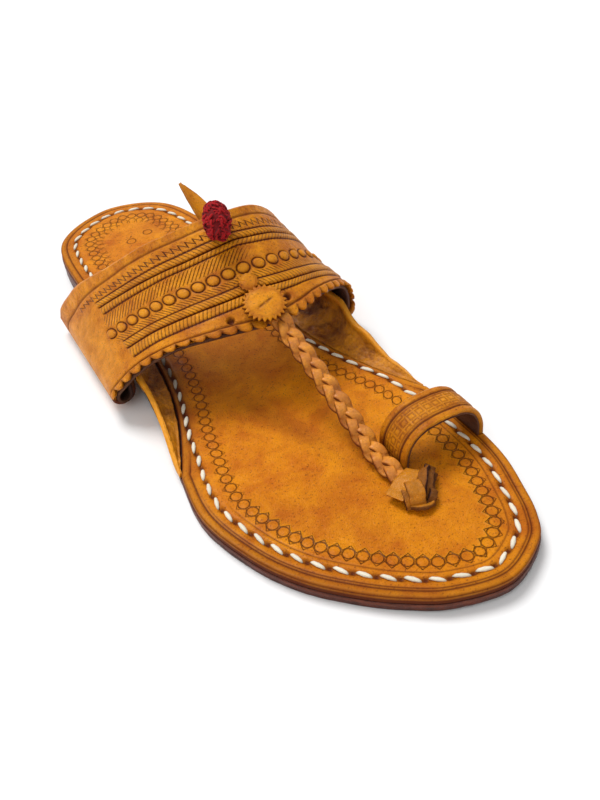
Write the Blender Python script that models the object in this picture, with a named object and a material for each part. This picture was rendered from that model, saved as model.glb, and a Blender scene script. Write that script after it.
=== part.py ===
# Kolhapuri sandal for the right foot: stitched leather sole, stamped instep band with a braided
# toe strap, toe ring, ears, knot, rosette, leaf and wool pompom.
# Metres, +Z up, toe along -Y, inner side of the foot along +X. The origin is on the floor,
# under the middle of the heel.
import math

import bmesh
import bpy
import numpy as np
from mathutils import Vector

# Overall sizes
SOLE_LENGTH = 0.260
BALL_WIDTH = 0.0915
HEEL_TO_ORIGIN = 0.035
INSTEP_HEIGHT = 0.054
CLEARANCE = 0.0003

# Sole
HEEL_LIFT_THICKNESS = 0.0044
OUTSOLE_THICKNESS = 0.0027
INSOLE_THICKNESS = 0.0025
EDGE_ROUND = 0.0007
INSOLE_EDGE_INSET = 0.0003
HEEL_LIFT_EDGE_INSET = 0.0002
HEEL_LIFT_END = 0.262
ARCH_START = 0.30
ARCH_END = 0.55
TOE_SPRING_START = 0.90
TOE_SPRING = 0.0015
SOLE_STATIONS = 50
SOLE_COLUMNS = 4
OUTLINE_SAMPLES = 1200
CURVE_STEPS = 24

# Half widths of the sole, as shares of the ball width, at shares of the length from the heel
SOLE_OUTLINE = (
    {"along": 0.000, "inner": 0.030, "outer": -0.030},
    {"along": 0.012, "inner": 0.158, "outer": 0.112},
    {"along": 0.035, "inner": 0.252, "outer": 0.224},
    {"along": 0.065, "inner": 0.308, "outer": 0.296},
    {"along": 0.110, "inner": 0.340, "outer": 0.336},
    {"along": 0.180, "inner": 0.353, "outer": 0.363},
    {"along": 0.280, "inner": 0.340, "outer": 0.384},
    {"along": 0.380, "inner": 0.327, "outer": 0.414},
    {"along": 0.480, "inner": 0.338, "outer": 0.454},
    {"along": 0.560, "inner": 0.360, "outer": 0.502},
    {"along": 0.640, "inner": 0.379, "outer": 0.565},
    {"along": 0.720, "inner": 0.393, "outer": 0.609},
    {"along": 0.800, "inner": 0.383, "outer": 0.572},
    {"along": 0.860, "inner": 0.356, "outer": 0.502},
    {"along": 0.910, "inner": 0.303, "outer": 0.399},
    {"along": 0.950, "inner": 0.247, "outer": 0.290},
    {"along": 0.980, "inner": 0.167, "outer": 0.178},
    {"along": 1.000, "inner": -0.003, "outer": 0.003},
)

# Ears, one on each side of the waist, each in a notch of the insole. The rows give how far the
# rim leans out past the sole's edge and how far the ear stands up, from its back to its front
EAR_WALL = 0.0018
EAR_HEIGHT = 0.0115
EAR_ROOT_GAP = 0.0006
EAR_TIP_WIDTH = 0.0009
EAR_STATIONS = 24
EAR_COLUMNS = 7
EAR_UPRIGHT_FROM = 0.85
EAR_BEND_POWER = 1.4
EAR_CLIMB_POWER = 2.2
EAR_SHARE_INSET = 0.02
NOTCH_FULLNESS = 0.8
EARS = {
    "ear_lateral": {
        "side": -1.0,
        "start": 0.235,
        "end": 0.645,
        "notch": 0.0082,
        "rows": (
            {"share": 0.00, "lean": 0.0030, "stand": 0.0},
            {"share": 0.30, "lean": 0.0030, "stand": 0.85},
            {"share": 0.54, "lean": 0.0022, "stand": 0.85},
            {"share": 0.78, "lean": 0.0008, "stand": 0.42},
            {"share": 1.00, "lean": 0.0000, "stand": 0.0},
        ),
    },
    "ear_medial": {
        "side": 1.0,
        "start": 0.300,
        "end": 0.705,
        "notch": 0.0100,
        "rows": (
            {"share": 0.00, "lean": 0.0035, "stand": 0.0},
            {"share": 0.30, "lean": 0.0040, "stand": 1.0},
            {"share": 0.52, "lean": 0.0042, "stand": 1.0},
            {"share": 0.68, "lean": 0.0013, "stand": 0.68},
            {"share": 0.85, "lean": 0.0004, "stand": 0.22},
            {"share": 1.00, "lean": 0.0000, "stand": 0.0},
        ),
    },
}

# Instep band: both edges from the outer side of the foot over the instep to the inner side.
# side is a share of the ball width, along a share of the length from the heel, up a share of
# the instep height
BAND_WALL = 0.0025
BAND_FRONT_EDGE = (
    {"side": -0.565, "along": 0.4553, "up": 0.137},
    {"side": -0.558, "along": 0.4615, "up": 0.200},
    {"side": -0.523, "along": 0.4750, "up": 0.290},
    {"side": -0.477, "along": 0.4895, "up": 0.372},
    {"side": -0.364, "along": 0.5207, "up": 0.507},
    {"side": -0.218, "along": 0.5508, "up": 0.570},
    {"side": -0.025, "along": 0.5695, "up": 0.566},
    {"side": 0.113, "along": 0.5695, "up": 0.560},
    {"side": 0.205, "along": 0.5612, "up": 0.552},
    {"side": 0.316, "along": 0.5467, "up": 0.500},
    {"side": 0.406, "along": 0.5290, "up": 0.398},
    {"side": 0.450, "along": 0.5176, "up": 0.269},
    {"side": 0.462, "along": 0.5134, "up": 0.148},
)
BAND_BACK_EDGE = (
    {"side": -0.505, "along": 0.2393, "up": 0.140},
    {"side": -0.499, "along": 0.2434, "up": 0.205},
    {"side": -0.474, "along": 0.2600, "up": 0.315},
    {"side": -0.430, "along": 0.2850, "up": 0.461},
    {"side": -0.342, "along": 0.3317, "up": 0.637},
    {"side": -0.243, "along": 0.3732, "up": 0.809},
    {"side": -0.139, "along": 0.4033, "up": 0.915},
    {"side": -0.025, "along": 0.4210, "up": 0.974},
    {"side": 0.073, "along": 0.4272, "up": 0.985},
    {"side": 0.204, "along": 0.4137, "up": 0.913},
    {"side": 0.314, "along": 0.3919, "up": 0.741},
    {"side": 0.390, "along": 0.3712, "up": 0.519},
    {"side": 0.428, "along": 0.3535, "up": 0.296},
    {"side": 0.434, "along": 0.3483, "up": 0.152},
)
BAND_ROWS = (0.0, 0.045, 0.35, 0.68, 1.0)
BAND_COLUMNS = 111
CURL_STEPS = 5
CURL_LEG = 0.0042
CURL_LEAST_RADIUS = 0.0015
SCALLOP_COLUMNS = 5
SCALLOP_DEPTH = 0.0013
SCALLOP_ROUNDNESS = 0.5

# Braided strap from the band's front edge to the slit in the insole
BRAID_WIDTH = 0.0068
BRAID_THICKNESS = 0.0024
BRAID_PITCH = 0.0070
BRAID_RELIEF = 0.0006
BRAID_SAMPLES = 8
BRAID_COLUMNS = 7
BRAID_CHEVRON = 2.2
BRAID_EDGE_SWELL = 0.05
BRAID_EDGE_THINNING = 0.45
BRAID_ROUTE = (
    {"side": 0.008, "along": 0.5498, "up": 0.640},
    {"side": 0.008, "along": 0.5737, "up": 0.588},
    {"side": 0.005, "along": 0.5944, "up": 0.525},
    {"side": 0.002, "along": 0.6235, "up": 0.478},
    {"side": 0.002, "along": 0.6609, "up": 0.396},
    {"side": 0.000, "along": 0.7035, "up": 0.300},
    {"side": -0.003, "along": 0.7450, "up": 0.210},
    {"side": -0.007, "along": 0.7782, "up": 0.156},
    {"side": -0.009, "along": 0.8208, "up": 0.139},
)

# Toe ring
RING_WALL = 0.0022
RING_WIDTH = 0.0140
RING_HEIGHT = 0.0140
RING_OUTER_FOOT = {"side": 0.050, "along": 0.7834}
RING_INNER_FOOT = {"side": 0.362, "along": 0.7927}
RING_SQUARENESS = 2.7
RING_STATIONS = 30
RING_ROWS = 4

# Knot at the braid's lower end
KNOT_ROUTE = (
    {"side": -0.111, "along": 0.8468, "up": 0.137, "width": 0.0046, "height": 0.0016},
    {"side": -0.080, "along": 0.8561, "up": 0.143, "width": 0.0048, "height": 0.0020},
    {"side": -0.055, "along": 0.8655, "up": 0.160, "width": 0.0062, "height": 0.0046},
    {"side": -0.031, "along": 0.8675, "up": 0.172, "width": 0.0078, "height": 0.0062},
    {"side": 0.005, "along": 0.8613, "up": 0.172, "width": 0.0074, "height": 0.0060},
    {"side": 0.037, "along": 0.8551, "up": 0.163, "width": 0.0058, "height": 0.0046},
    {"side": 0.065, "along": 0.8468, "up": 0.152, "width": 0.0050, "height": 0.0028},
    {"side": 0.084, "along": 0.8405, "up": 0.150, "width": 0.0044, "height": 0.0016},
)
KNOT_SIDES = 12
KNOT_STATIONS = 25
KNOT_SQUARENESS = 0.7

# Rosette over the strap's upper end
ROSETTE_DIAMETER = 0.0146
ROSETTE_THICKNESS = 0.0013
ROSETTE_TEETH = 24
ROSETTE_TOOTH_DEPTH = 0.0008
ROSETTE_CROWN = 0.0007
ROSETTE_CROWN_WIDTH = 0.5
ROSETTE_ACROSS = 0.545
ROSETTE_ROW = 0.12
ROSETTE_RISE = 0.0037
ROSETTE_TILT = math.radians(-10.0)

# Leaf and pompom on the band's back edge
LEAF_THICKNESS = 0.0012
LEAF_STATIONS = 13
LEAF_ROUTE = (
    {"side": 0.010, "along": 0.4465, "up": 0.850, "width": 0.0054},
    {"side": 0.008, "along": 0.4185, "up": 0.930, "width": 0.0060},
    {"side": 0.001, "along": 0.4008, "up": 0.998, "width": 0.0058},
    {"side": -0.009, "along": 0.3838, "up": 1.063, "width": 0.0042},
    {"side": -0.019, "along": 0.3673, "up": 1.128, "width": 0.0008},
)
POMPOM_FOOT = {"side": -0.036, "along": 0.4738, "up": 0.974}
POMPOM_TOP = {"side": 0.017, "along": 0.4281, "up": 1.107}
POMPOM_DIAMETER = 0.0094
POMPOM_LOCKS_AROUND = 9
POMPOM_LOCKS_ALONG = 4
POMPOM_LOCK_DEPTH = 0.13
POMPOM_LOCK_TWIST = 4.0
POMPOM_SEGMENTS = 30


def clearScene():
    for thing in list(bpy.data.objects):
        bpy.data.objects.remove(thing)


def makeMaterial(name, colour, roughness):
    material = bpy.data.materials.new(name)
    material.use_nodes = True
    shader = material.node_tree.nodes["Principled BSDF"]
    shader.inputs["Base Color"].default_value = (*colour, 1.0)
    shader.inputs["Roughness"].default_value = roughness
    shader.inputs["Metallic"].default_value = 0.0
    return material


def smoothLine(points, count):
    # A Catmull-Rom curve through the points, read at equal steps of its length
    points = np.array(points, dtype=float)
    ends = np.vstack([2 * points[0] - points[1], points, 2 * points[-1] - points[-2]])
    steps = np.linspace(0.0, 1.0, CURVE_STEPS, endpoint=False)[:, None]
    dense = []
    for before, start, end, after in zip(ends, ends[1:], ends[2:], ends[3:]):
        dense.append(
            0.5
            * (
                2 * start
                + (end - before) * steps
                + (2 * before - 5 * start + 4 * end - after) * steps**2
                + (3 * start - before - 3 * end + after) * steps**3
            )
        )
    dense = np.vstack(dense + [points[-1:]])
    length = np.concatenate([[0.0], np.cumsum(np.linalg.norm(np.diff(dense, axis=0), axis=1))])
    wanted = np.linspace(0.0, length[-1], count)
    return np.stack([np.interp(wanted, length, column) for column in dense.T], axis=1)


def lineLength(line):
    return float(np.linalg.norm(np.diff(line, axis=0), axis=1).sum())


def alongToY(along):
    return HEEL_TO_ORIGIN - along * SOLE_LENGTH


def place(row):
    return (row["side"] * BALL_WIDTH, alongToY(row["along"]), row["up"] * INSTEP_HEIGHT)


def easeStep(value):
    value = np.clip(value, 0.0, 1.0)
    return value * value * (3.0 - 2.0 * value)


def outlineTables():
    # Dense outline of one side each, with the round ends kept square to the centre line
    tables = {}
    for side in ("inner", "outer"):
        other = "outer" if side == "inner" else "inner"
        rows = [(-SOLE_OUTLINE[1][other] * BALL_WIDTH, SOLE_OUTLINE[1]["along"] * SOLE_LENGTH)]
        rows += [(row[side] * BALL_WIDTH, row["along"] * SOLE_LENGTH) for row in SOLE_OUTLINE[:-1]]
        rows.append((SOLE_OUTLINE[-1][side] * BALL_WIDTH, SOLE_LENGTH))
        rows.append((-SOLE_OUTLINE[-2][other] * BALL_WIDTH, SOLE_OUTLINE[-2]["along"] * SOLE_LENGTH))
        line = smoothLine(rows, OUTLINE_SAMPLES)
        first = int(np.argmin(line[:, 1]))
        last = int(np.argmax(line[:, 1]))
        tables[side] = line[first : last + 1]
    return tables


OUTLINE = outlineTables()


def edgeX(along, side):
    # Distance of the sole's edge from the centre line, signed, at a share of the length
    table = OUTLINE["inner" if side > 0 else "outer"]
    return side * float(np.interp(along * SOLE_LENGTH, table[:, 1], table[:, 0]))


def floorLift(along):
    # Height of the outsole's underside: on the lift at the heel, on the floor at the ball
    heel = HEEL_LIFT_THICKNESS + CLEARANCE
    arch = heel * (1.0 - easeStep((along - ARCH_START) / (ARCH_END - ARCH_START)))
    toe = TOE_SPRING * max(0.0, (along - TOE_SPRING_START) / (1.0 - TOE_SPRING_START)) ** 2
    return float(arch) + toe


def outsoleTop(along):
    return floorLift(along) + OUTSOLE_THICKNESS


def insoleTop(along):
    return outsoleTop(along) + CLEARANCE + INSOLE_THICKNESS


def notchAt(along, side):
    ear = EARS["ear_medial" if side > 0 else "ear_lateral"]
    share = (along - ear["start"]) / (ear["end"] - ear["start"])
    if share <= 0.0 or share >= 1.0:
        return 0.0
    return ear["notch"] * math.sin(math.pi * share) ** NOTCH_FULLNESS


def earValue(ear, share, key):
    # Eased reading of one column of an ear's rows
    rows = ear["rows"]
    for row, following in zip(rows, rows[1:]):
        if share <= following["share"]:
            step = (share - row["share"]) / (following["share"] - row["share"])
            return row[key] + (following[key] - row[key]) * float(easeStep(step))
    return rows[-1][key]


def soleSection(along, low, high, inset, notched):
    # Closed cross-section of one layer, from the outer lower corner over the top and back below
    left = edgeX(along, -1.0) + inset
    right = edgeX(along, 1.0) - inset
    if notched:
        left += notchAt(along, -1.0)
        right -= notchAt(along, 1.0)
    middle = 0.5 * (left + right)
    half = max(0.5 * (right - left), 2.0 * EDGE_ROUND)
    left = middle - half
    right = middle + half
    y = alongToY(along)
    inner = np.linspace(left + EDGE_ROUND, right - EDGE_ROUND, SOLE_COLUMNS)
    points = [(left, y, low), (left, y, high - EDGE_ROUND)]
    points += [(x, y, high) for x in inner]
    points += [(right, y, high - EDGE_ROUND), (right, y, low)]
    points += [(x, y, low) for x in inner[::-1]]
    return points


def finishMesh(name, mesh, material, angle=35.0):
    bmesh.ops.recalc_face_normals(mesh, faces=mesh.faces)
    if mesh.calc_volume(signed=True) < 0.0:
        bmesh.ops.reverse_faces(mesh, faces=mesh.faces)
    data = bpy.data.meshes.new(name)
    mesh.to_mesh(data)
    mesh.free()
    data.materials.append(material)
    data.shade_smooth()
    data.set_sharp_from_angle(angle=math.radians(angle))
    thing = bpy.data.objects.new(name, data)
    bpy.context.scene.collection.objects.link(thing)
    return thing


def loftSections(name, sections, material, angle=35.0):
    # A solid through closed sections, with a flat cap at each end
    mesh = bmesh.new()
    rings = [[mesh.verts.new(point) for point in section] for section in sections]
    count = len(rings[0])
    for ring, following in zip(rings, rings[1:]):
        for i in range(count):
            j = (i + 1) % count
            mesh.faces.new((ring[i], ring[j], following[j], following[i]))
    mesh.faces.new(rings[0])
    mesh.faces.new(rings[-1][::-1])
    return finishMesh(name, mesh, material, angle)


def wallFromGrids(name, outer, inner, material, angle=35.0):
    # A wall between two grids of points, closed along its four edges
    mesh = bmesh.new()
    front = [[mesh.verts.new(point) for point in row] for row in outer]
    back = [[mesh.verts.new(point) for point in row] for row in inner]
    rows = len(front)
    columns = len(front[0])
    for i in range(rows - 1):
        for j in range(columns - 1):
            mesh.faces.new((front[i][j], front[i][j + 1], front[i + 1][j + 1], front[i + 1][j]))
            mesh.faces.new((back[i][j], back[i + 1][j], back[i + 1][j + 1], back[i][j + 1]))
    rim = [(0, j) for j in range(columns)]
    rim += [(i, columns - 1) for i in range(1, rows)]
    rim += [(rows - 1, j) for j in range(columns - 2, -1, -1)]
    rim += [(i, 0) for i in range(rows - 2, 0, -1)]
    for (i, j), (k, m) in zip(rim, rim[1:] + rim[:1]):
        mesh.faces.new((front[i][j], back[i][j], back[k][m], front[k][m]))
    return finishMesh(name, mesh, material, angle)


def gridNormals(grid):
    across = np.gradient(grid, axis=1)
    along = np.gradient(grid, axis=0)
    normals = np.cross(across, along)
    return normals / np.linalg.norm(normals, axis=2)[:, :, None]


def makeSole(name, end, lowAt, highAt, inset, notched, material):
    # Stations crowd towards a round end and stop square at the breast of the heel
    if end < 1.0:
        turns = np.linspace(0.0, 0.5, SOLE_STATIONS // 3)[1:]
        shares = end * (1.0 - np.cos(np.pi * turns))
    else:
        turns = np.linspace(0.0, 1.0, SOLE_STATIONS + 2)[1:-1]
        shares = 0.5 * (1.0 - np.cos(np.pi * turns))
    sections = [soleSection(s, lowAt(s), highAt(s), inset, notched) for s in shares]
    return loftSections(name, sections, material)


def earSurface(ear, share):
    # Middle surface of an ear at one station, from its root on the outsole to its rim
    side = ear["side"]
    along = ear["start"] + (ear["end"] - ear["start"]) * share
    root = max(notchAt(along, side) - EAR_ROOT_GAP, EAR_TIP_WIDTH)
    edge = side * edgeX(along, side)
    stand = earValue(ear, share, "stand")
    lean = earValue(ear, share, "lean") * stand
    base = outsoleTop(along) + CLEARANCE + 0.5 * EAR_WALL
    points = []
    for step in np.linspace(0.0, 1.0, EAR_COLUMNS):
        bend = max(0.0, 1.0 - step / EAR_UPRIGHT_FROM) ** EAR_BEND_POWER
        upright = edge + lean - (root + lean) * bend
        flat = edge - root * (1.0 - step)
        out = flat + (upright - flat) * stand
        climb = EAR_HEIGHT * step**EAR_CLIMB_POWER * stand
        points.append((side * out, alongToY(along), base + climb))
    return points


def earOuterX(side, y):
    # Outer face of the ear's upright part at a place along the foot, as a distance
    ear = EARS["ear_medial" if side > 0 else "ear_lateral"]
    along = (HEEL_TO_ORIGIN - y) / SOLE_LENGTH
    share = (along - ear["start"]) / (ear["end"] - ear["start"])
    lean = earValue(ear, share, "lean") * earValue(ear, share, "stand")
    return side * edgeX(along, side) + lean + 0.5 * EAR_WALL


def makeEar(name, ear, material):
    shares = np.linspace(EAR_SHARE_INSET, 1.0 - EAR_SHARE_INSET, EAR_STATIONS)
    grid = np.array([earSurface(ear, share) for share in shares])
    normals = gridNormals(grid)
    half = 0.5 * EAR_WALL
    return wallFromGrids(name, grid + normals * half, grid - normals * half, material, 50.0)


def curlPoints(end, side):
    # The band's lower end rolled inwards and up beside the ear, from the band downwards
    gap = side * end[0] - earOuterX(side, end[1]) - CLEARANCE - 0.5 * BAND_WALL
    radius = max(0.5 * gap, CURL_LEAST_RADIUS)
    points = []
    for step in range(1, CURL_STEPS + 1):
        turn = math.pi * step / CURL_STEPS
        x = end[0] - side * radius * (1.0 - math.cos(turn))
        points.append((x, end[1], end[2] - radius * math.sin(turn)))
    top = points[-1]
    points.append((top[0], top[1], top[2] + 0.5 * CURL_LEG))
    points.append((top[0], top[1], top[2] + CURL_LEG))
    return points


def bandGrid():
    # Middle surface of the band, row by row from its front edge to its back edge
    front = smoothLine([place(row) for row in BAND_FRONT_EDGE], BAND_COLUMNS)
    back = smoothLine([place(row) for row in BAND_BACK_EDGE], BAND_COLUMNS)
    rows = []
    for share in BAND_ROWS:
        row = front + (back - front) * share
        outer = curlPoints(row[0], -1.0)[::-1]
        inner = curlPoints(row[-1], 1.0)
        rows.append(np.vstack([outer, row, inner]))
    return np.array(rows)


def scallopFront(grid):
    # Draws the front row back between the scallops, each a few columns of the band long
    bite = np.arange(grid.shape[1]) - CURL_STEPS - 2
    bite = 1.0 - np.abs(np.sin(math.pi * bite / SCALLOP_COLUMNS)) ** SCALLOP_ROUNDNESS
    inwards = grid[2] - grid[0]
    inwards = inwards / np.linalg.norm(inwards, axis=1)[:, None]
    grid[0] = grid[0] + inwards * (bite * SCALLOP_DEPTH)[:, None]
    return grid


def makeBand(name, material):
    grid = bandGrid()
    normals = gridNormals(grid)
    grid = scallopFront(grid)
    half = 0.5 * BAND_WALL
    return wallFromGrids(name, grid + normals * half, grid - normals * half, material, 40.0)


def frameAlong(line, upHint):
    # Side, forward and up directions along a route
    forward = np.gradient(line, axis=0)
    forward /= np.linalg.norm(forward, axis=1)[:, None]
    side = np.cross(forward, upHint)
    side /= np.linalg.norm(side, axis=1)[:, None]
    return side, forward, np.cross(side, forward)


def makeBraid(name, material):
    # Flat plait: strips cross in a chevron, each raised where it lies on top
    route = [place(row) for row in BRAID_ROUTE]
    length = lineLength(smoothLine(route, OUTLINE_SAMPLES))
    line = smoothLine(route, int(length / BRAID_PITCH * BRAID_SAMPLES))
    side, _, up = frameAlong(line, (0.0, 0.0, 1.0))
    half = 0.5 * BRAID_WIDTH
    sections = []
    for i, middle in enumerate(line):
        turn = 2.0 * math.pi * i / BRAID_SAMPLES
        top = []
        below = []
        for across in np.linspace(-1.0, 1.0, BRAID_COLUMNS):
            shift = math.pi if across > 0.0 else 0.0
            wave = math.cos(turn + BRAID_CHEVRON * abs(across) + shift)
            edge = half * across * (1.0 + BRAID_EDGE_SWELL * wave)
            crown = 0.5 * BRAID_THICKNESS * (1.0 - BRAID_EDGE_THINNING * across * across)
            top.append(middle + side[i] * edge + up[i] * (crown + BRAID_RELIEF * max(wave, 0.0)))
            below.append(middle + side[i] * edge - up[i] * crown)
        sections.append(top + below[::-1])
    return loftSections(name, sections, material, 30.0)


def makeUpper(name, material):
    # The band and its strap are one piece: they join where the strap leaves the front edge
    band = makeBand(name, material)
    strap = makeBraid("strap_shape", material)
    strap.hide_render = True
    strap.display_type = "WIRE"
    join = band.modifiers.new("join_strap", "BOOLEAN")
    join.operation = "UNION"
    join.solver = "EXACT"
    join.object = strap
    return band


def makeRing(name, material):
    # An arch over the big toe, squarer than a half circle, with both feet on the insole
    outer = np.array([RING_OUTER_FOOT["side"] * BALL_WIDTH, alongToY(RING_OUTER_FOOT["along"])])
    inner = np.array([RING_INNER_FOOT["side"] * BALL_WIDTH, alongToY(RING_INNER_FOOT["along"])])
    centre = 0.5 * (outer + inner)
    reach = 0.5 * (inner - outer)
    wide = np.array([-reach[1], reach[0]]) / np.linalg.norm(reach)
    base = insoleTop(RING_INNER_FOOT["along"]) + CLEARANCE
    rows = []
    for step in np.linspace(-0.5, 0.5, RING_ROWS):
        row = []
        for turn in np.linspace(math.pi, 0.0, RING_STATIONS):
            across = math.copysign(abs(math.cos(turn)) ** (2.0 / RING_SQUARENESS), math.cos(turn))
            rise = math.sin(turn) ** (2.0 / RING_SQUARENESS) if turn not in (0.0, math.pi) else 0.0
            xy = centre + reach * across + wide * step * RING_WIDTH
            row.append((xy[0], xy[1], base + RING_HEIGHT * max(rise, 0.0)))
        rows.append(row)
    grid = np.array(rows)
    normals = gridNormals(grid)
    half = 0.5 * RING_WALL
    outerGrid = grid + normals * half
    innerGrid = grid - normals * half
    for side in (outerGrid, innerGrid):
        side[:, 0, 2] = base
        side[:, -1, 2] = base
    return wallFromGrids(name, outerGrid, innerGrid, material, 40.0)


def makeKnot(name, material):
    # A thin strip tied over itself: thick in the middle, with two flat ends
    line = smoothLine([place(row) for row in KNOT_ROUTE], KNOT_STATIONS)
    side, _, up = frameAlong(line, (0.0, 0.0, 1.0))
    reach = np.linspace(0.0, 1.0, len(KNOT_ROUTE))
    shares = np.linspace(0.0, 1.0, len(line))
    widths = np.interp(shares, reach, [row["width"] for row in KNOT_ROUTE])
    heights = np.interp(shares, reach, [row["height"] for row in KNOT_ROUTE])
    sections = []
    for i, middle in enumerate(line):
        section = []
        for turn in np.linspace(0.0, 2.0 * math.pi, KNOT_SIDES, endpoint=False):
            x = math.copysign(abs(math.cos(turn)) ** KNOT_SQUARENESS, math.cos(turn))
            z = math.copysign(abs(math.sin(turn)) ** KNOT_SQUARENESS, math.sin(turn))
            section.append(middle + side[i] * 0.5 * widths[i] * x + up[i] * 0.5 * heights[i] * z)
        sections.append(section)
    return loftSections(name, sections, material, 45.0)


def bandFrame(across, share):
    # A point on the band's middle surface with its side, back and outward directions
    front = smoothLine([place(row) for row in BAND_FRONT_EDGE], BAND_COLUMNS)
    back = smoothLine([place(row) for row in BAND_BACK_EDGE], BAND_COLUMNS)
    index = int(across * (BAND_COLUMNS - 1))
    point = Vector(front[index] + (back[index] - front[index]) * share)
    backward = Vector(back[index] - front[index]).normalized()
    ahead = front[index + 1] + (back[index + 1] - front[index + 1]) * share
    sideways = (Vector(ahead) - point).normalized()
    outward = sideways.cross(backward).normalized()
    sideways = backward.cross(outward).normalized()
    return point, sideways, backward, outward


def makeRosette(name, material):
    point, sideways, backward, outward = bandFrame(ROSETTE_ACROSS, ROSETTE_ROW)
    tilted = backward * math.cos(ROSETTE_TILT) + outward * math.sin(ROSETTE_TILT)
    facing = outward * math.cos(ROSETTE_TILT) - backward * math.sin(ROSETTE_TILT)
    centre = point + outward * ROSETTE_RISE
    sections = []
    count = 2 * ROSETTE_TEETH
    radius = 0.5 * ROSETTE_DIAMETER
    for low in (True, False):
        ring = []
        for i in range(count):
            turn = 2.0 * math.pi * i / count
            reach = radius - (i % 2) * ROSETTE_TOOTH_DEPTH
            rise = 0.0 if low else ROSETTE_THICKNESS
            spot = sideways * math.cos(turn) * reach + tilted * math.sin(turn) * reach
            ring.append(centre + spot + facing * (rise - 0.5 * ROSETTE_THICKNESS))
        sections.append(ring)
    crown = []
    for i in range(count):
        turn = 2.0 * math.pi * i / count
        reach = radius * ROSETTE_CROWN_WIDTH
        spot = (sideways * math.cos(turn) + tilted * math.sin(turn)) * reach
        crown.append(centre + spot + facing * (0.5 * ROSETTE_THICKNESS + ROSETTE_CROWN))
    sections.append(crown)
    return loftSections(name, sections, material, 30.0)


def makeLeaf(name, material):
    line = smoothLine([place(row) for row in LEAF_ROUTE], LEAF_STATIONS)
    side, _, up = frameAlong(line, (0.0, 0.0, 1.0))
    reach = np.linspace(0.0, 1.0, len(LEAF_ROUTE))
    widths = np.interp(np.linspace(0.0, 1.0, len(line)), reach, [row["width"] for row in LEAF_ROUTE])
    half = 0.5 * LEAF_THICKNESS
    sections = []
    for i, middle in enumerate(line):
        wide = side[i] * 0.5 * widths[i]
        sections.append(
            [
                middle - wide - up[i] * half,
                middle - wide + up[i] * half,
                middle + up[i] * half,
                middle + wide + up[i] * half,
                middle + wide - up[i] * half,
                middle - up[i] * half,
            ]
        )
    return loftSections(name, sections, material)


def makePompom(name, material):
    # A ball of wool with its locks as lobes of one surface
    foot = Vector(place(POMPOM_FOOT))
    top = Vector(place(POMPOM_TOP))
    axis = top - foot
    turned = axis.to_track_quat("Z", "Y")
    mesh = bmesh.new()
    bmesh.ops.create_uvsphere(mesh, u_segments=POMPOM_SEGMENTS, v_segments=POMPOM_SEGMENTS // 2, radius=1.0)
    for vert in mesh.verts:
        around = math.atan2(vert.co.y, vert.co.x)
        polar = math.acos(max(-1.0, min(1.0, vert.co.z)))
        lobe = math.cos(POMPOM_LOCKS_AROUND * around + POMPOM_LOCK_TWIST * polar)
        lobe *= math.cos(2.0 * POMPOM_LOCKS_ALONG * polar)
        swell = 1.0 + POMPOM_LOCK_DEPTH * lobe * math.sin(polar) - POMPOM_LOCK_DEPTH
        local = Vector((vert.co.x, vert.co.y, 0.0)) * 0.5 * POMPOM_DIAMETER * swell
        local.z = vert.co.z * 0.5 * axis.length
        vert.co = 0.5 * (foot + top) + turned @ local
    return finishMesh(name, mesh, material, 60.0)


def main():
    clearScene()
    tan = makeMaterial("leather_tan", (0.55, 0.22, 0.035), 0.42)
    edge = makeMaterial("leather_edge", (0.10, 0.032, 0.012), 0.55)
    wool = makeMaterial("wool_red", (0.22, 0.008, 0.02), 0.95)
    makeSole(
        "heel_lift",
        HEEL_LIFT_END,
        lambda along: 0.0,
        lambda along: HEEL_LIFT_THICKNESS,
        HEEL_LIFT_EDGE_INSET,
        False,
        edge,
    )
    makeSole("outsole", 1.0, floorLift, outsoleTop, 0.0, False, edge)
    makeSole(
        "insole",
        1.0,
        lambda along: outsoleTop(along) + CLEARANCE,
        insoleTop,
        INSOLE_EDGE_INSET,
        True,
        tan,
    )
    for name, ear in EARS.items():
        makeEar(name, ear, tan)
    makeUpper("upper", tan)
    makeRing("toe_ring", tan)
    makeKnot("knot", tan)
    makeRosette("rosette", tan)
    makeLeaf("leaf", tan)
    makePompom("pompom", wool)


main()
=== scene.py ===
import math
import random

import bmesh
import bpy
import numpy as np
from mathutils import Matrix, Vector, noise


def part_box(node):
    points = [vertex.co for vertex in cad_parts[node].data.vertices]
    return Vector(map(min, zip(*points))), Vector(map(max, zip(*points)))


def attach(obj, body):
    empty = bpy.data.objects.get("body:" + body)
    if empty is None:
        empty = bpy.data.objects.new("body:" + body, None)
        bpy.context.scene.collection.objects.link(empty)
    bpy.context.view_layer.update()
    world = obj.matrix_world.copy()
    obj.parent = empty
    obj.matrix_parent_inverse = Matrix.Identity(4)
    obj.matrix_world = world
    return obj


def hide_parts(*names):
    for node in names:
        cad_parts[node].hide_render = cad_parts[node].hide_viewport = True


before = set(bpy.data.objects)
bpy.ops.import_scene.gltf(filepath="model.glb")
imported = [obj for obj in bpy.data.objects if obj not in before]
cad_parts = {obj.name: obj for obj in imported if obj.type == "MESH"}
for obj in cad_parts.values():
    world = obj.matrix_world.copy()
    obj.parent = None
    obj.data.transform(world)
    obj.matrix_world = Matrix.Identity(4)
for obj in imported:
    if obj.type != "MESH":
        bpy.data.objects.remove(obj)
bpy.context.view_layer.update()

mm = 0.001

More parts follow.
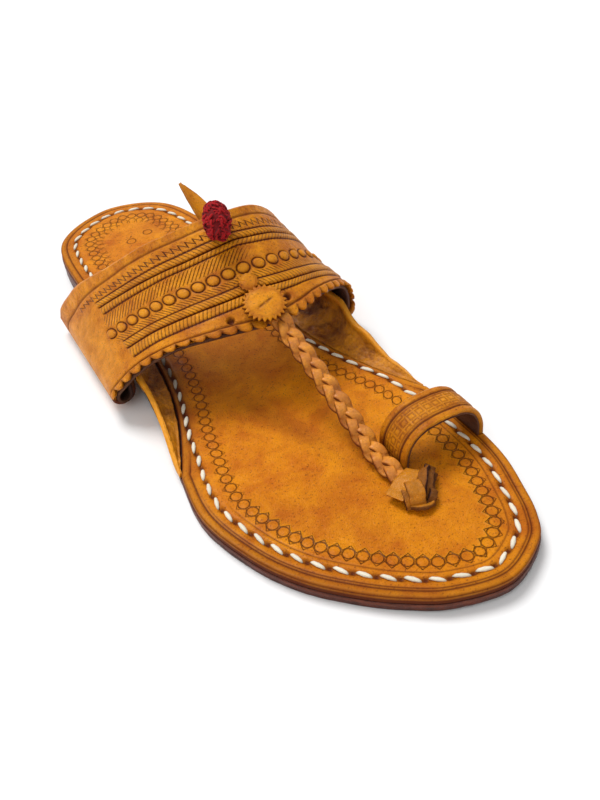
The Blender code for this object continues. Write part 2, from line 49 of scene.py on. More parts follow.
# Shared sizes, the same as the solids'
sole = {
    "length": 0.260, "ballWidth": 0.0915, "heelToOrigin": 0.035, "instep": 0.054, "clearance": 0.0003,
    "lift": 0.0044, "outsole": 0.0027, "insole": 0.0025, "archStart": 0.30, "archEnd": 0.55,
    "springStart": 0.90, "spring": 0.0015, "liftEnd": 0.262,
}
soleOutline = np.array([  # share of the length from the heel, inner and outer half width by ball width
    (0.000, 0.030, -0.030), (0.012, 0.158, 0.112), (0.035, 0.252, 0.224), (0.065, 0.308, 0.296),
    (0.110, 0.340, 0.336), (0.180, 0.353, 0.363), (0.280, 0.340, 0.384), (0.380, 0.327, 0.414),
    (0.480, 0.338, 0.454), (0.560, 0.360, 0.502), (0.640, 0.379, 0.565), (0.720, 0.393, 0.609),
    (0.800, 0.383, 0.572), (0.860, 0.356, 0.502), (0.910, 0.303, 0.399), (0.950, 0.247, 0.290),
    (0.980, 0.167, 0.178), (1.000, -0.003, 0.003)])
ears = {
    "lateral": {"side": -1.0, "start": 0.235, "end": 0.645, "notch": 8.2 * mm, "rows": np.array([
        (0.00, 3.0, 0.0), (0.30, 3.0, 0.85), (0.54, 2.2, 0.85), (0.78, 0.8, 0.42), (1.0, 0.0, 0.0)])},
    "medial": {"side": 1.0, "start": 0.300, "end": 0.705, "notch": 10.0 * mm, "rows": np.array([
        (0.00, 3.5, 0.0), (0.30, 4.0, 1.0), (0.52, 4.2, 1.0), (0.68, 1.3, 0.68), (0.85, 0.4, 0.22),
        (1.0, 0.0, 0.0)])},
}


def runOf(line):
    # length of a line up to each of its points
    return np.concatenate([[0.0], np.cumsum(np.linalg.norm(np.diff(line, axis=0), axis=1))])


def unit(vectors):
    return vectors / np.linalg.norm(vectors, axis=-1, keepdims=True)


def lineFrame(line, up=(0.0, 0.0, 1.0)):
    # sideways and upward directions along a line
    forward = unit(np.gradient(line, axis=0))
    side = unit(np.cross(forward, up))
    return side, np.cross(side, forward)


def readTable(table, share):
    # evenly spaced values or points, read at shares of the way along them
    steps = np.linspace(0, 1, len(table))
    if table.ndim == 1:
        return np.interp(share, steps, table)
    return np.stack([np.interp(share, steps, column) for column in table.T], axis=-1)


def smoothLine(points, count):
    # a Catmull-Rom curve through the points, read at equal steps of its length
    points = np.array(points, dtype=float)
    ends = np.vstack([2 * points[0] - points[1], points, 2 * points[-1] - points[-2]])
    step = np.linspace(0.0, 1.0, 24, endpoint=False)[:, None]
    dense = [0.5 * (2 * b + (c - a) * step + (2 * a - 5 * b + 4 * c - d) * step**2
                    + (3 * b - a - 3 * c + d) * step**3)
             for a, b, c, d in zip(ends, ends[1:], ends[2:], ends[3:])]
    dense = np.vstack(dense + [points[-1:]])
    length = runOf(dense)
    wanted = np.linspace(0.0, length[-1], count)
    return np.stack([np.interp(wanted, length, column) for column in dense.T], axis=1)


def ease(value):
    value = np.clip(value, 0.0, 1.0)
    return value * value * (3.0 - 2.0 * value)


def bell(distance, width):
    return np.exp(-(distance / width) ** 2)


def alongToY(along):
    return sole["heelToOrigin"] - along * sole["length"]


def yToAlong(y):
    return (sole["heelToOrigin"] - y) / sole["length"]


def place(side, along, up):
    return (side * sole["ballWidth"], alongToY(along), up * sole["instep"])


def outlineSides():
    sides = {}
    for name, own, other in (("inner", 1, 2), ("outer", 2, 1)):
        wide, long = sole["ballWidth"], sole["length"]
        rows = [(-soleOutline[1][other] * wide, soleOutline[1][0] * long)]
        rows += [(row[own] * wide, row[0] * long) for row in soleOutline]
        rows.append((-soleOutline[-2][other] * wide, soleOutline[-2][0] * long))
        line = smoothLine(rows, 1200)
        sides[name] = line[int(np.argmin(line[:, 1])): int(np.argmax(line[:, 1])) + 1]
    return sides


outline = outlineSides()


def edgeX(along, side):
    inner = np.interp(along * sole["length"], outline["inner"][:, 1], outline["inner"][:, 0])
    outer = np.interp(along * sole["length"], outline["outer"][:, 1], outline["outer"][:, 0])
    return np.where(np.asarray(side) > 0, inner, -outer)


def floorLift(along):
    heel = sole["lift"] + sole["clearance"]
    arch = heel * (1.0 - ease((along - sole["archStart"]) / (sole["archEnd"] - sole["archStart"])))
    toe = sole["spring"] * np.maximum(0.0, (along - sole["springStart"]) / (1.0 - sole["springStart"])) ** 2
    return arch + toe


def outsoleTop(along):
    return floorLift(along) + sole["outsole"]


def insoleTop(along):
    return outsoleTop(along) + sole["clearance"] + sole["insole"]


def notchAt(along, side):
    total = np.zeros_like(np.asarray(along, dtype=float))
    for ear in ears.values():
        share = np.clip((along - ear["start"]) / (ear["end"] - ear["start"]), 0.0, 1.0)
        depth = ear["notch"] * np.maximum(np.sin(np.pi * share), 0.0) ** 0.8
        total = np.where(np.asarray(side) * ear["side"] > 0, depth, total)
    return total


def roughness3(spots, scale, depth=3, seed=0.0):
    # smooth noise at each point, about -1 to 1, with features of the given size in metres
    return np.array([noise.fractal(Vector(p) / scale + Vector((seed, 0.0, 0.0)), 0.6, 2.0, depth)
                     for p in spots])


# Making pieces
def layGrid(mesh, columns, rows, shape):
    # a grid made by the operator, its corners then laid on a surface; marks are darkening (tooled lines and
    # painted shade), painted highlight with tone, and painted shade, stamp is a place in the tooled pattern in
    # millimetres, and zones say how strong each pattern is
    colourLayers = mesh.verts.layers.float_color
    for layer in ("toolMarksAndPaintedLight", "zones"):
        if layer not in colourLayers:
            colourLayers.new(layer)
    if "stamp" not in mesh.loops.layers.uv:
        mesh.loops.layers.uv.new("stamp")
    markLayer, zone, flat = colourLayers["toolMarksAndPaintedLight"], colourLayers["zones"], mesh.loops.layers.uv["stamp"]
    made = bmesh.ops.create_grid(mesh, x_segments=columns, y_segments=rows, size=0.5)["verts"]
    u = np.array([vert.co.x + 0.5 for vert in made])
    v = np.array([vert.co.y + 0.5 for vert in made])
    spots, marks, *pattern = shape(u, v)
    if pattern:
        stamp, zones = pattern
        mesh.verts.index_update()
        for face in mesh.faces:
            for loop in face.loops:
                loop[flat].uv = stamp[loop.vert.index]
        for vert, strong in zip(made, zones):
            vert[zone] = strong
    for vert, spot, mark in zip(made, spots, marks):
        vert.co = spot
        vert[markLayer] = (*mark, 1.0)


def turnShellsOut(mesh):
    # a piece may be several closed shells, and each has to face outwards by itself
    left = set(mesh.faces)
    while left:
        reach = [left.pop()]
        shell = list(reach)
        while reach:
            near = {face for edge in reach.pop().edges for face in edge.link_faces} & left
            left -= near
            reach += near
            shell += near
        if sum(face.calc_center_median().dot(face.normal) * face.calc_area() for face in shell) < 0.0:
            bmesh.ops.reverse_faces(mesh, faces=shell)


def finishPiece(name, mesh, material, replaced=(), wall=None, closed=True, angle=70.0, offset=-1.0,
                slot="tan_leather"):
    bmesh.ops.remove_doubles(mesh, verts=mesh.verts, dist=2e-6)
    bmesh.ops.dissolve_degenerate(mesh, edges=mesh.edges, dist=1e-6)
    mesh.normal_update()
    mesh.faces.ensure_lookup_table()
    front = mesh.faces[0].normal.copy()
    bmesh.ops.recalc_face_normals(mesh, faces=mesh.faces)
    mesh.normal_update()
    if closed:
        turnShellsOut(mesh)
    elif mesh.faces[0].normal.dot(front) < 0.0:
        bmesh.ops.reverse_faces(mesh, faces=mesh.faces)
    data = bpy.data.meshes.new(name)
    mesh.to_mesh(data)
    mesh.free()
    data.materials.append(material)
    data.shade_smooth()
    data.set_sharp_from_angle(angle=math.radians(angle))
    piece = bpy.data.objects.new(name, data)
    bpy.context.scene.collection.objects.link(piece)
    if wall:
        shell = piece.modifiers.new("wall", "SOLIDIFY")
        shell.thickness = wall
        shell.offset = offset
        shell.use_even_offset = False
    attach(piece, "root")
    if replaced:
        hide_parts(*replaced)
    print("made", name, len(data.polygons))


def layPiece(name, material, columns, rows, shape, replaced=(), **finish):
    mesh = bmesh.new()
    layGrid(mesh, columns, rows, shape)
    finishPiece(name, mesh, material, replaced, **finish)


def gridNormals(grid):
    normals = np.cross(np.gradient(grid, axis=1), np.gradient(grid, axis=0))
    return normals / np.maximum(np.linalg.norm(normals, axis=2), 1e-12)[:, :, None]


def readGrid(grid, u, v):
    # bilinear reading of a grid of values, u across its columns and v down its rows
    x = np.clip(u, 0, 1) * (grid.shape[1] - 1)
    y = np.clip(v, 0, 1) * (grid.shape[0] - 1)
    i = np.minimum(x.astype(int), grid.shape[1] - 2)
    j = np.minimum(y.astype(int), grid.shape[0] - 2)
    fx = (x - i).reshape((-1,) + (1,) * (grid.ndim - 2))
    fy = (y - j).reshape((-1,) + (1,) * (grid.ndim - 2))
    low = grid[j, i] * (1 - fx) + grid[j, i + 1] * fx
    high = grid[j + 1, i] * (1 - fx) + grid[j + 1, i + 1] * fx
    return low * (1 - fy) + high * fy


def strip(mesh, line, up, width, height, squareness, sides, marks):
    # a flat lace swept along a route, closed at both ends
    line = np.array(line, dtype=float)
    side, rise = lineFrame(line, up)

    def shape(u, v):
        turn = v * 2 * np.pi
        ends = np.where((u < 1e-4) | (u > 1 - 1e-4), 0.0, 1.0)
        x = np.sign(np.cos(turn)) * np.abs(np.cos(turn)) ** squareness * (0.5 * width * ends)
        z = np.sign(np.sin(turn)) * np.abs(np.sin(turn)) ** squareness * (0.5 * height * ends)
        read = np.where(ends > 0, u, np.clip(u, 1.2e-2, 1 - 1.2e-2))
        spots = readTable(line, read) + readTable(side, read) * x[:, None] + readTable(rise, read) * z[:, None]
        # painted shade on the lace's sides and underside, painted highlight on its top
        dark = 0.85 * (1 - np.clip(np.sin(turn), 0, 1)) * np.abs(np.cos(turn)) ** 2
        mark = np.stack([dark, 0.45 * np.clip(np.sin(turn), 0, 1) ** 2, np.zeros_like(dark)], 1)
        return spots, mark + np.array(marks)
    layGrid(mesh, len(line) - 1, sides, shape)


# Materials
def fromHex(text):
    # sRGB hex to the linear colour that the shader takes
    parts = [int(text[i:i + 2], 16) / 255 for i in (1, 3, 5)]
    return tuple(c / 12.92 if c <= 0.04045 else ((c + 0.055) / 1.055) ** 2.4 for c in parts) + (1.0,)


def addNode(tree, kind, inputs=None, **settings):
    # one node with its settings, input values or links; gives its first output
    node = tree.nodes.new("ShaderNode" + kind)
    for key, value in settings.items():
        setattr(node, key, value)
    for socket, value in (inputs or {}).items():
        if isinstance(value, bpy.types.NodeSocket):
            tree.links.new(value, node.inputs[socket])
        else:
            node.inputs[socket].default_value = value
    return node.outputs[0]


def newMaterial(name, values):
    # a material with uniform values set on its shader
    material = bpy.data.materials.new(name)
    material.use_nodes = True
    shader = material.node_tree.nodes["Principled BSDF"]
    for socket, value in values.items():
        shader.inputs[socket].default_value = value
    return material, material.node_tree, shader


def leather(name, look, steps=None):
    # Vegetable-tanned buffalo hide, dyed, oiled and hand-stamped: mottled dye that gathers dark in
    # every tooled line, a fine pebbled grain with pores, and a satin oil gloss that varies
    material, tree, shader = newMaterial(name, {
        "IOR": 1.5, "Specular IOR Level": look["specular"], "Coat Weight": look["coat"],
        "Coat Roughness": look["coatRough"]})
    place3 = addNode(tree, "TexCoord").node.outputs["Object"]
    cloud = addNode(tree, "TexNoise", {"Vector": place3, "Scale": 1 / (look["cloudMm"] * mm),
                    "Detail": 5.0, "Roughness": 0.62, "Distortion": 0.3})
    fleck = addNode(tree, "TexNoise", {"Vector": place3, "Scale": 1 / (look["fleckMm"] * mm),
                    "Detail": 3.0, "Roughness": 0.7})
    grain = addNode(tree, "TexVoronoi", {"Vector": place3, "Scale": 1 / (look["grainMm"] * mm)},
                    feature="DISTANCE_TO_EDGE")
    marks = addNode(tree, "VertexColor", layer_name="toolMarksAndPaintedLight")
    parts = addNode(tree, "SeparateColor", {"Color": marks}).node.outputs
    cloudMix = addNode(tree, "MapRange", {"Value": cloud, "From Min": 0.32, "From Max": 0.68})
    base = addNode(tree, "MixRGB", {0: cloudMix, 1: fromHex(look["deep"]), 2: fromHex(look["pale"])})
    speck = addNode(tree, "MapRange", {"Value": fleck, "From Min": 0.56, "From Max": 0.70,
                    "To Max": look["fleck"]})
    speckled = addNode(tree, "MixRGB", {0: speck, 1: base, 2: fromHex(look["dark"])})
    # green marks mix in painted highlights with some tone; red marks darken the tooled lines and paint shade
    highlightAndTone = addNode(tree, "Math", {0: parts["Green"], 1: look["highlightAndTone"]}, operation="MULTIPLY")
    lighter = addNode(tree, "MixRGB", {0: highlightAndTone, 1: speckled, 2: fromHex(look["light"])})
    darkenedByMarks = addNode(tree, "MixRGB", {0: parts["Red"], 1: lighter, 2: fromHex(look["dark"])})
    tooled = None
    if steps:
        stamp = addNode(tree, "UVMap", uv_map="stamp")
        run = addNode(tree, "SeparateXYZ", {0: stamp}).node.outputs
        zones = addNode(tree, "VertexColor", layer_name="zones")
        zone = addNode(tree, "SeparateColor", {"Color": zones}).node.outputs
        spot = addNode(tree, "SeparateXYZ", {0: place3}).node.outputs
        value = {"x": spot["X"], "y": spot["Y"], "run": run["X"], "row": run["Y"], "fleck": fleck,
                 "zoneA": zone["Red"], "zoneB": zone["Green"], "zoneC": zone["Blue"],
                 "zoneD": zones.node.outputs["Alpha"]}
        for result, operation, *inputs in steps:
            value[result] = addNode(tree, "Math", {k: value.get(i, i) for k, i in enumerate(inputs)},
                                    operation=operation)
        tooled = value["lines"]
        inked = addNode(tree, "Math", {0: tooled, 1: look["ink"]}, operation="MULTIPLY")
        darkenedByMarks = addNode(tree, "MixRGB", {0: inked, 1: darkenedByMarks, 2: fromHex(look["dark"])})
    # blue marks mix in painted shade
    withPaintedShade = addNode(tree, "MixRGB", {0: parts["Blue"], 1: darkenedByMarks, 2: fromHex(look["paintedShade"])})
    tree.links.new(withPaintedShade, shader.inputs["Base Color"])
    gloss = addNode(tree, "MapRange", {"Value": cloud, "From Min": 0.3, "From Max": 0.7,
                    "To Min": look["rough"] + 0.10, "To Max": look["rough"] - 0.06})
    dull = addNode(tree, "Math", {0: parts["Red"], 1: 0.35, 2: gloss}, operation="MULTIPLY_ADD")
    tree.links.new(dull, shader.inputs["Roughness"])
    cells = addNode(tree, "MapRange", {"Value": grain, "From Max": 0.35})
    pebble = addNode(tree, "Math", {0: fleck, 1: 0.8, 2: cells}, operation="MULTIPLY_ADD")
    bump = addNode(tree, "Bump", {"Height": pebble, "Strength": look["grain"],
                   "Distance": 0.12 * mm})
    wrinkle = addNode(tree, "Bump", {"Height": cloud, "Strength": look["wrinkle"],
                      "Distance": 1.0 * mm, "Normal": bump})
    pressed = wrinkle
    if tooled:
        pressed = addNode(tree, "Bump", {"Height": tooled, "Strength": 1.0, "Distance": 0.40 * mm,
                          "Normal": wrinkle}, invert=True)
    tree.links.new(pressed, shader.inputs["Normal"])
    return material


# the grey-purple colour paints shade, and the strength after fleck sets how strong the painted highlights are
goldenLook = {"deep": "#b05c00", "pale": "#e08c00", "dark": "#521802", "light": "#ffb21e", "paintedShade": "#3b3036",
              "cloudMm": 11.0, "fleckMm": 0.7, "grainMm": 0.5, "fleck": 0.8, "highlightAndTone": 0.45, "rough": 0.42,
              "grain": 0.9, "wrinkle": 0.12, "specular": 0.20, "coat": 0.05, "coatRough": 0.22}


def drawn(name, width, strength=1.0):
    # turns a distance into the strength of a drawn line
    return [(name, "ABSOLUTE", name), (name, "DIVIDE", name, width), (name, "SUBTRACT", strength, name),
            (name, "MAXIMUM", name, 0.0)]


def rim(name, a, b, radius):
    # distance from the rim of a circle
    return [(name + "2", "MULTIPLY", a, a), (name, "MULTIPLY_ADD", b, b, name + "2"), (name, "SQRT", name),
            (name, "SUBTRACT", name, radius), (name, "ABSOLUTE", name)]


def centred(name, source):
    # place within a repeat, from -0.5 to 0.5
    return [(name, "FRACT", source), (name, "SUBTRACT", name, 0.5)]


# each step is a math node: its name, what it does, and what it reads, in millimetres of the tooled
# pattern; the lines are drawn coarser than the real tooling, which is finer than a pixel
footbedSteps = [
    *centred("here", "run"), ("here", "MULTIPLY", "here", 4.15),
    *rim("ring", "here", "row", 1.80), *drawn("ring", 0.26, 1.15),
    ("hereAway", "ABSOLUTE", "here"), ("roof", "MULTIPLY_ADD", "hereAway", -1.0, 2.75),
    ("rowAway", "ABSOLUTE", "row"), ("peak", "SUBTRACT", "rowAway", "roof"), *drawn("peak", 0.26),
    ("peak", "MULTIPLY", "peak", "zoneC"), ("both", "MAXIMUM", "ring", "peak"),
    ("both", "MULTIPLY", "both", "zoneA"),
    ("second", "SUBTRACT", "row", 4.1), *rim("second", "here", "second", 1.75), *drawn("second", 0.26),
    ("second", "MULTIPLY", "second", "zoneB"),
    ("x1", "MULTIPLY_ADD", "x", 1000.0, 1.3), ("y1", "MULTIPLY_ADD", "y", 1000.0, -0.6),
    *rim("mark1", "x1", "y1", 1.9),
    ("x2", "MULTIPLY_ADD", "x", 1000.0, -7.5), ("y2", "MULTIPLY_ADD", "y", 1000.0, -2.6),
    *rim("mark2", "x2", "y2", 1.9), ("mark", "MINIMUM", "mark1", "mark2"), *drawn("mark", 0.35),
    ("all", "MAXIMUM", "both", "second"), ("all", "MAXIMUM", "all", "mark"),
    ("uneven", "MULTIPLY_ADD", "fleck", 0.9, 0.45), ("all", "MULTIPLY", "all", "uneven"),
    ("lines", "MINIMUM", "all", 1.0)]
bandSteps = [
    ("near1", "SUBTRACT", "row", 10.0), ("near1", "ABSOLUTE", "near1"),
    ("near2", "SUBTRACT", "row", 32.0), ("near2", "ABSOLUTE", "near2"), ("near", "MINIMUM", "near1", "near2"),
    ("twist", "DIVIDE", "run", 1.50), ("twist", "MULTIPLY_ADD", "near", 0.42, "twist"),
    *centred("twist", "twist"), *drawn("twist", 0.20),
    ("side1", "SUBTRACT", "near1", 3.8), ("side1", "ABSOLUTE", "side1"),
    ("side2", "SUBTRACT", "near2", 3.1), ("side2", "ABSOLUTE", "side2"),
    ("groove", "MINIMUM", "side1", "side2"), ("groove", "MINIMUM", "groove", "near"),
    *drawn("groove", 0.38, 1.25),
    ("rope", "MULTIPLY_ADD", "twist", 0.62, "groove"), ("rope", "MULTIPLY", "rope", "zoneA"),
    ("mid", "SUBTRACT", "row", 20.0), ("midAway", "ABSOLUTE", "mid"),
    ("cut", "DIVIDE", "run", 1.5), ("cut", "MULTIPLY_ADD", "midAway", -0.62, "cut"), *centred("cut", "cut"),
    *drawn("cut", 0.20), ("cut", "MULTIPLY", "cut", "zoneB"), ("cut", "MULTIPLY", "cut", 0.9),
    ("boss", "DIVIDE", "run", 5.55), *centred("boss", "boss"), ("boss", "MULTIPLY", "boss", 5.55),
    *rim("boss", "boss", "mid", 2.25), *drawn("boss", 0.36, 1.1), ("boss", "MULTIPLY", "boss", "zoneD"),
    ("tooth", "DIVIDE", "run", 2.5), ("tooth", "MULTIPLY_ADD", "row", 0.22, "tooth"),
    *centred("tooth", "tooth"), ("tooth", "ABSOLUTE", "tooth"), ("tooth", "MULTIPLY", "tooth", 4.4),
    ("tooth", "SUBTRACT", "tooth", "row"), ("tooth", "ADD", "tooth", 36.4), *drawn("tooth", 0.42, 1.15),
    ("tooth", "MULTIPLY", "tooth", "zoneC"),
    ("all", "MAXIMUM", "rope", "cut"), ("all", "MAXIMUM", "all", "boss"), ("all", "MAXIMUM", "all", "tooth"),
    ("uneven", "MULTIPLY_ADD", "fleck", 0.8, 0.55), ("all", "MULTIPLY", "all", "uneven"),
    ("lines", "MINIMUM", "all", 1.0)]
footbedLeather = leather("footbed_veg_tanned_oiled", {**goldenLook, "deep": "#c86800", "pale": "#f39600",
                         "fleck": 0.75, "ink": 0.75, "specular": 0.15}, footbedSteps)
stampedLeather = leather("band_stamped_oiled", {**goldenLook, "deep": "#b86000", "pale": "#ee9600",
                         "fleck": 0.7, "cloudMm": 6.0, "ink": 1.0}, bandSteps)
bandLeather = leather("trim_oiled", {**goldenLook, "deep": "#b86000", "pale": "#ee9600",
                      "fleck": 0.7, "cloudMm": 6.0})
plaitLeather = leather("plait_split_lace", {**goldenLook, "deep": "#b45404", "pale": "#f89a14",
                       "light": "#ffc06a", "dark": "#4a1604", "fleck": 0.5, "cloudMm": 4.0, "rough": 0.32,
                       "specular": 0.25, "coat": 0.15})
earLeather = leather("ear_folded_oiled", {**goldenLook, "deep": "#8e4404", "pale": "#e8940c",
                       "light": "#ffa820", "cloudMm": 3.5, "rough": 0.32, "highlightAndTone": 0.9, "wrinkle": 0.9,
                       "specular": 0.3})
knotLeather = leather("knot_folded_lace", {**goldenLook, "deep": "#6e2c02", "pale": "#c26c0a",
                      "light": "#f0a020", "dark": "#350f02", "cloudMm": 3.0, "rough": 0.34, "specular": 0.25,
                      "wrinkle": 0.5})
edgeLeather = leather("sole_edge_burnished", {**goldenLook, "deep": "#3a1206", "pale": "#66240c",
                      "light": "#b0561e", "dark": "#170502", "cloudMm": 4.0, "rough": 0.40, "specular": 0.4})
liningLeather = leather("lining_flesh_side", {**goldenLook, "deep": "#4d3026", "pale": "#7a5238",
                        "light": "#9c8a94", "dark": "#1c0f0c", "rough": 0.75, "coat": 0.0, "fleckMm": 0.5,
                        "grain": 0.8})


def thread(name, look):
    # Waxed cotton thread, two-ply and twisted: matt, with fine slanting strands, a little dirt and painted
    # shade
    material, tree, shader = newMaterial(name, {
        "Roughness": look["rough"], "Sheen Weight": look["sheen"], "Sheen Roughness": 0.5})
    place3 = addNode(tree, "TexCoord").node.outputs["Object"]
    strand = addNode(tree, "TexNoise", {"Vector": place3, "Scale": 1 / (0.5 * mm), "Detail": 3.0})
    marks = addNode(tree, "VertexColor", layer_name="toolMarksAndPaintedLight")
    parts = addNode(tree, "SeparateColor", {"Color": marks}).node.outputs
    base = addNode(tree, "MixRGB", {0: strand, 1: fromHex(look["shade"]), 2: fromHex(look["clean"])})
    dirtiedAndShaded = addNode(tree, "MixRGB", {0: parts["Red"], 1: base, 2: fromHex(look["dirtAndShade"])})
    tree.links.new(dirtiedAndShaded, shader.inputs["Base Color"])
    bump = addNode(tree, "Bump", {"Height": strand, "Strength": 0.5, "Distance": 0.15 * mm})
    tree.links.new(bump, shader.inputs["Normal"])
    return material


# each thread's darkest colour stands for dirt with painted shade on the stitches, and for painted shade between
# the pompom's locks
stitchThread = thread("stitch_waxed_cotton", {"clean": "#fbf6e6", "shade": "#e2d6b8", "dirtAndShade": "#6f675c",
                                              "rough": 0.6, "sheen": 0.1})
pompomWool = thread("pompom_dyed_wool", {"clean": "#c80a14", "shade": "#8c020a", "dirtAndShade": "#240003",
                                              "rough": 0.95, "sheen": 0.0})

# Sole
solePiece = {"columns": 620, "stitchFrom": 6.4 * mm, "stitchAtEar": 2.3 * mm, "chain": 6.4 * mm,
             "stitchPitch": 6.7 * mm, "chainPitch": 4.15 * mm, "edgeLine": 2.6 * mm, "edgeLineTwo": 3.5 * mm,
             "gridColumns": 1240, "layerColumns": 480}


def soleRing(inset, notched, count, end=1.0):
    # closed edge of a layer, its inward directions and its point on the centre line, both sides level
    turn = np.linspace(0, np.pi, count // 2 + 1)
    along = end * 0.5 * (1 - np.cos(turn))
    lists = []
    for side in (1.0, -1.0):
        x = edgeX(along, side)
        if notched:
            x = x - side * notchAt(along, side)
        lists.append(np.stack([x, alongToY(along)], 1))
    centre = 0.5 * (lists[0] + lists[1])
    lists[0][:, 0] = np.maximum(lists[0][:, 0], centre[:, 0])
    lists[1][:, 0] = np.minimum(lists[1][:, 0], centre[:, 0])
    for tip in (0, -1) if end == 1.0 else (0,):
        lists[0][tip], lists[1][tip] = centre[tip], centre[tip]
    ring = np.vstack([lists[0][:-1], lists[1][::-1][:-1]])
    middle = np.vstack([centre[:-1], centre[::-1][:-1]])
    tangent = np.roll(ring, -2, axis=0) - np.roll(ring, 2, axis=0)
    tangent = unit(tangent)
    inward = np.stack([tangent[:, 1], -tangent[:, 0]], 1)
    inward *= np.sign(np.sum(inward[count // 4] * (middle[count // 4] - ring[count // 4])))
    ring = ring + inward * inset
    last = alongToY(end) + (0.031 if end == 1.0 else 0.002)
    y = np.clip(middle[:, 1], last, alongToY(0.0) - 0.031)
    x = 0.5 * (edgeX(yToAlong(y), 1.0) + edgeX(yToAlong(y), -1.0))
    return ring, inward, np.stack([x, y], 1)


def closeUp(table):
    return np.concatenate([table, table[:1]])


def repeatsAlong(line, pitch):
    # how many repeats of a pattern lie before each point of a closed line, and how many there are
    run = runOf(line)
    count = int(round(run[-1] / pitch))
    return run / run[-1] * count, count


ring, inward, spine = soleRing(0.3 * mm, True, solePiece["columns"])
sides = np.where(np.arange(len(ring)) < len(ring) // 2, 1.0, -1.0)
notchHere = notchAt(yToAlong(ring[:, 1]), sides)
stitchInset = solePiece["stitchFrom"] + (solePiece["stitchAtEar"] - solePiece["stitchFrom"]) * ease(
    notchHere / (5.5 * mm))
ring, inward, spine, notchHere, stitchInset = map(closeUp, (ring, inward, spine, notchHere, stitchInset))
stitchPhase, stitchCount = repeatsAlong(ring + inward * stitchInset[:, None], solePiece["stitchPitch"])
chainLine = ring + inward * (stitchInset + solePiece["chain"])[:, None]
chainPhase = repeatsAlong(chainLine, solePiece["chainPitch"])[0]


def footbedRows():
    # each row: distance inwards, share of the way to the centre line, depth below the top
    rows = [(1.0, 1.0, sole["insole"]), (0.0, 0.0, sole["insole"]), (0.0, 0.0, 1.5 * mm), (0.0, 0.0, 0.7 * mm),
            (0.06 * mm, 0.0, 0.40 * mm), (0.22 * mm, 0.0, 0.18 * mm), (0.5 * mm, 0.0, 0.04 * mm)]
    rows += [(d * mm, 0.0, 0.0) for d in np.arange(1.0, 18.0, 0.42)]
    rows += [(17.8 * mm, t, 0.0) for t in np.linspace(0, 1, 14)[1:]]
    return np.array(rows)


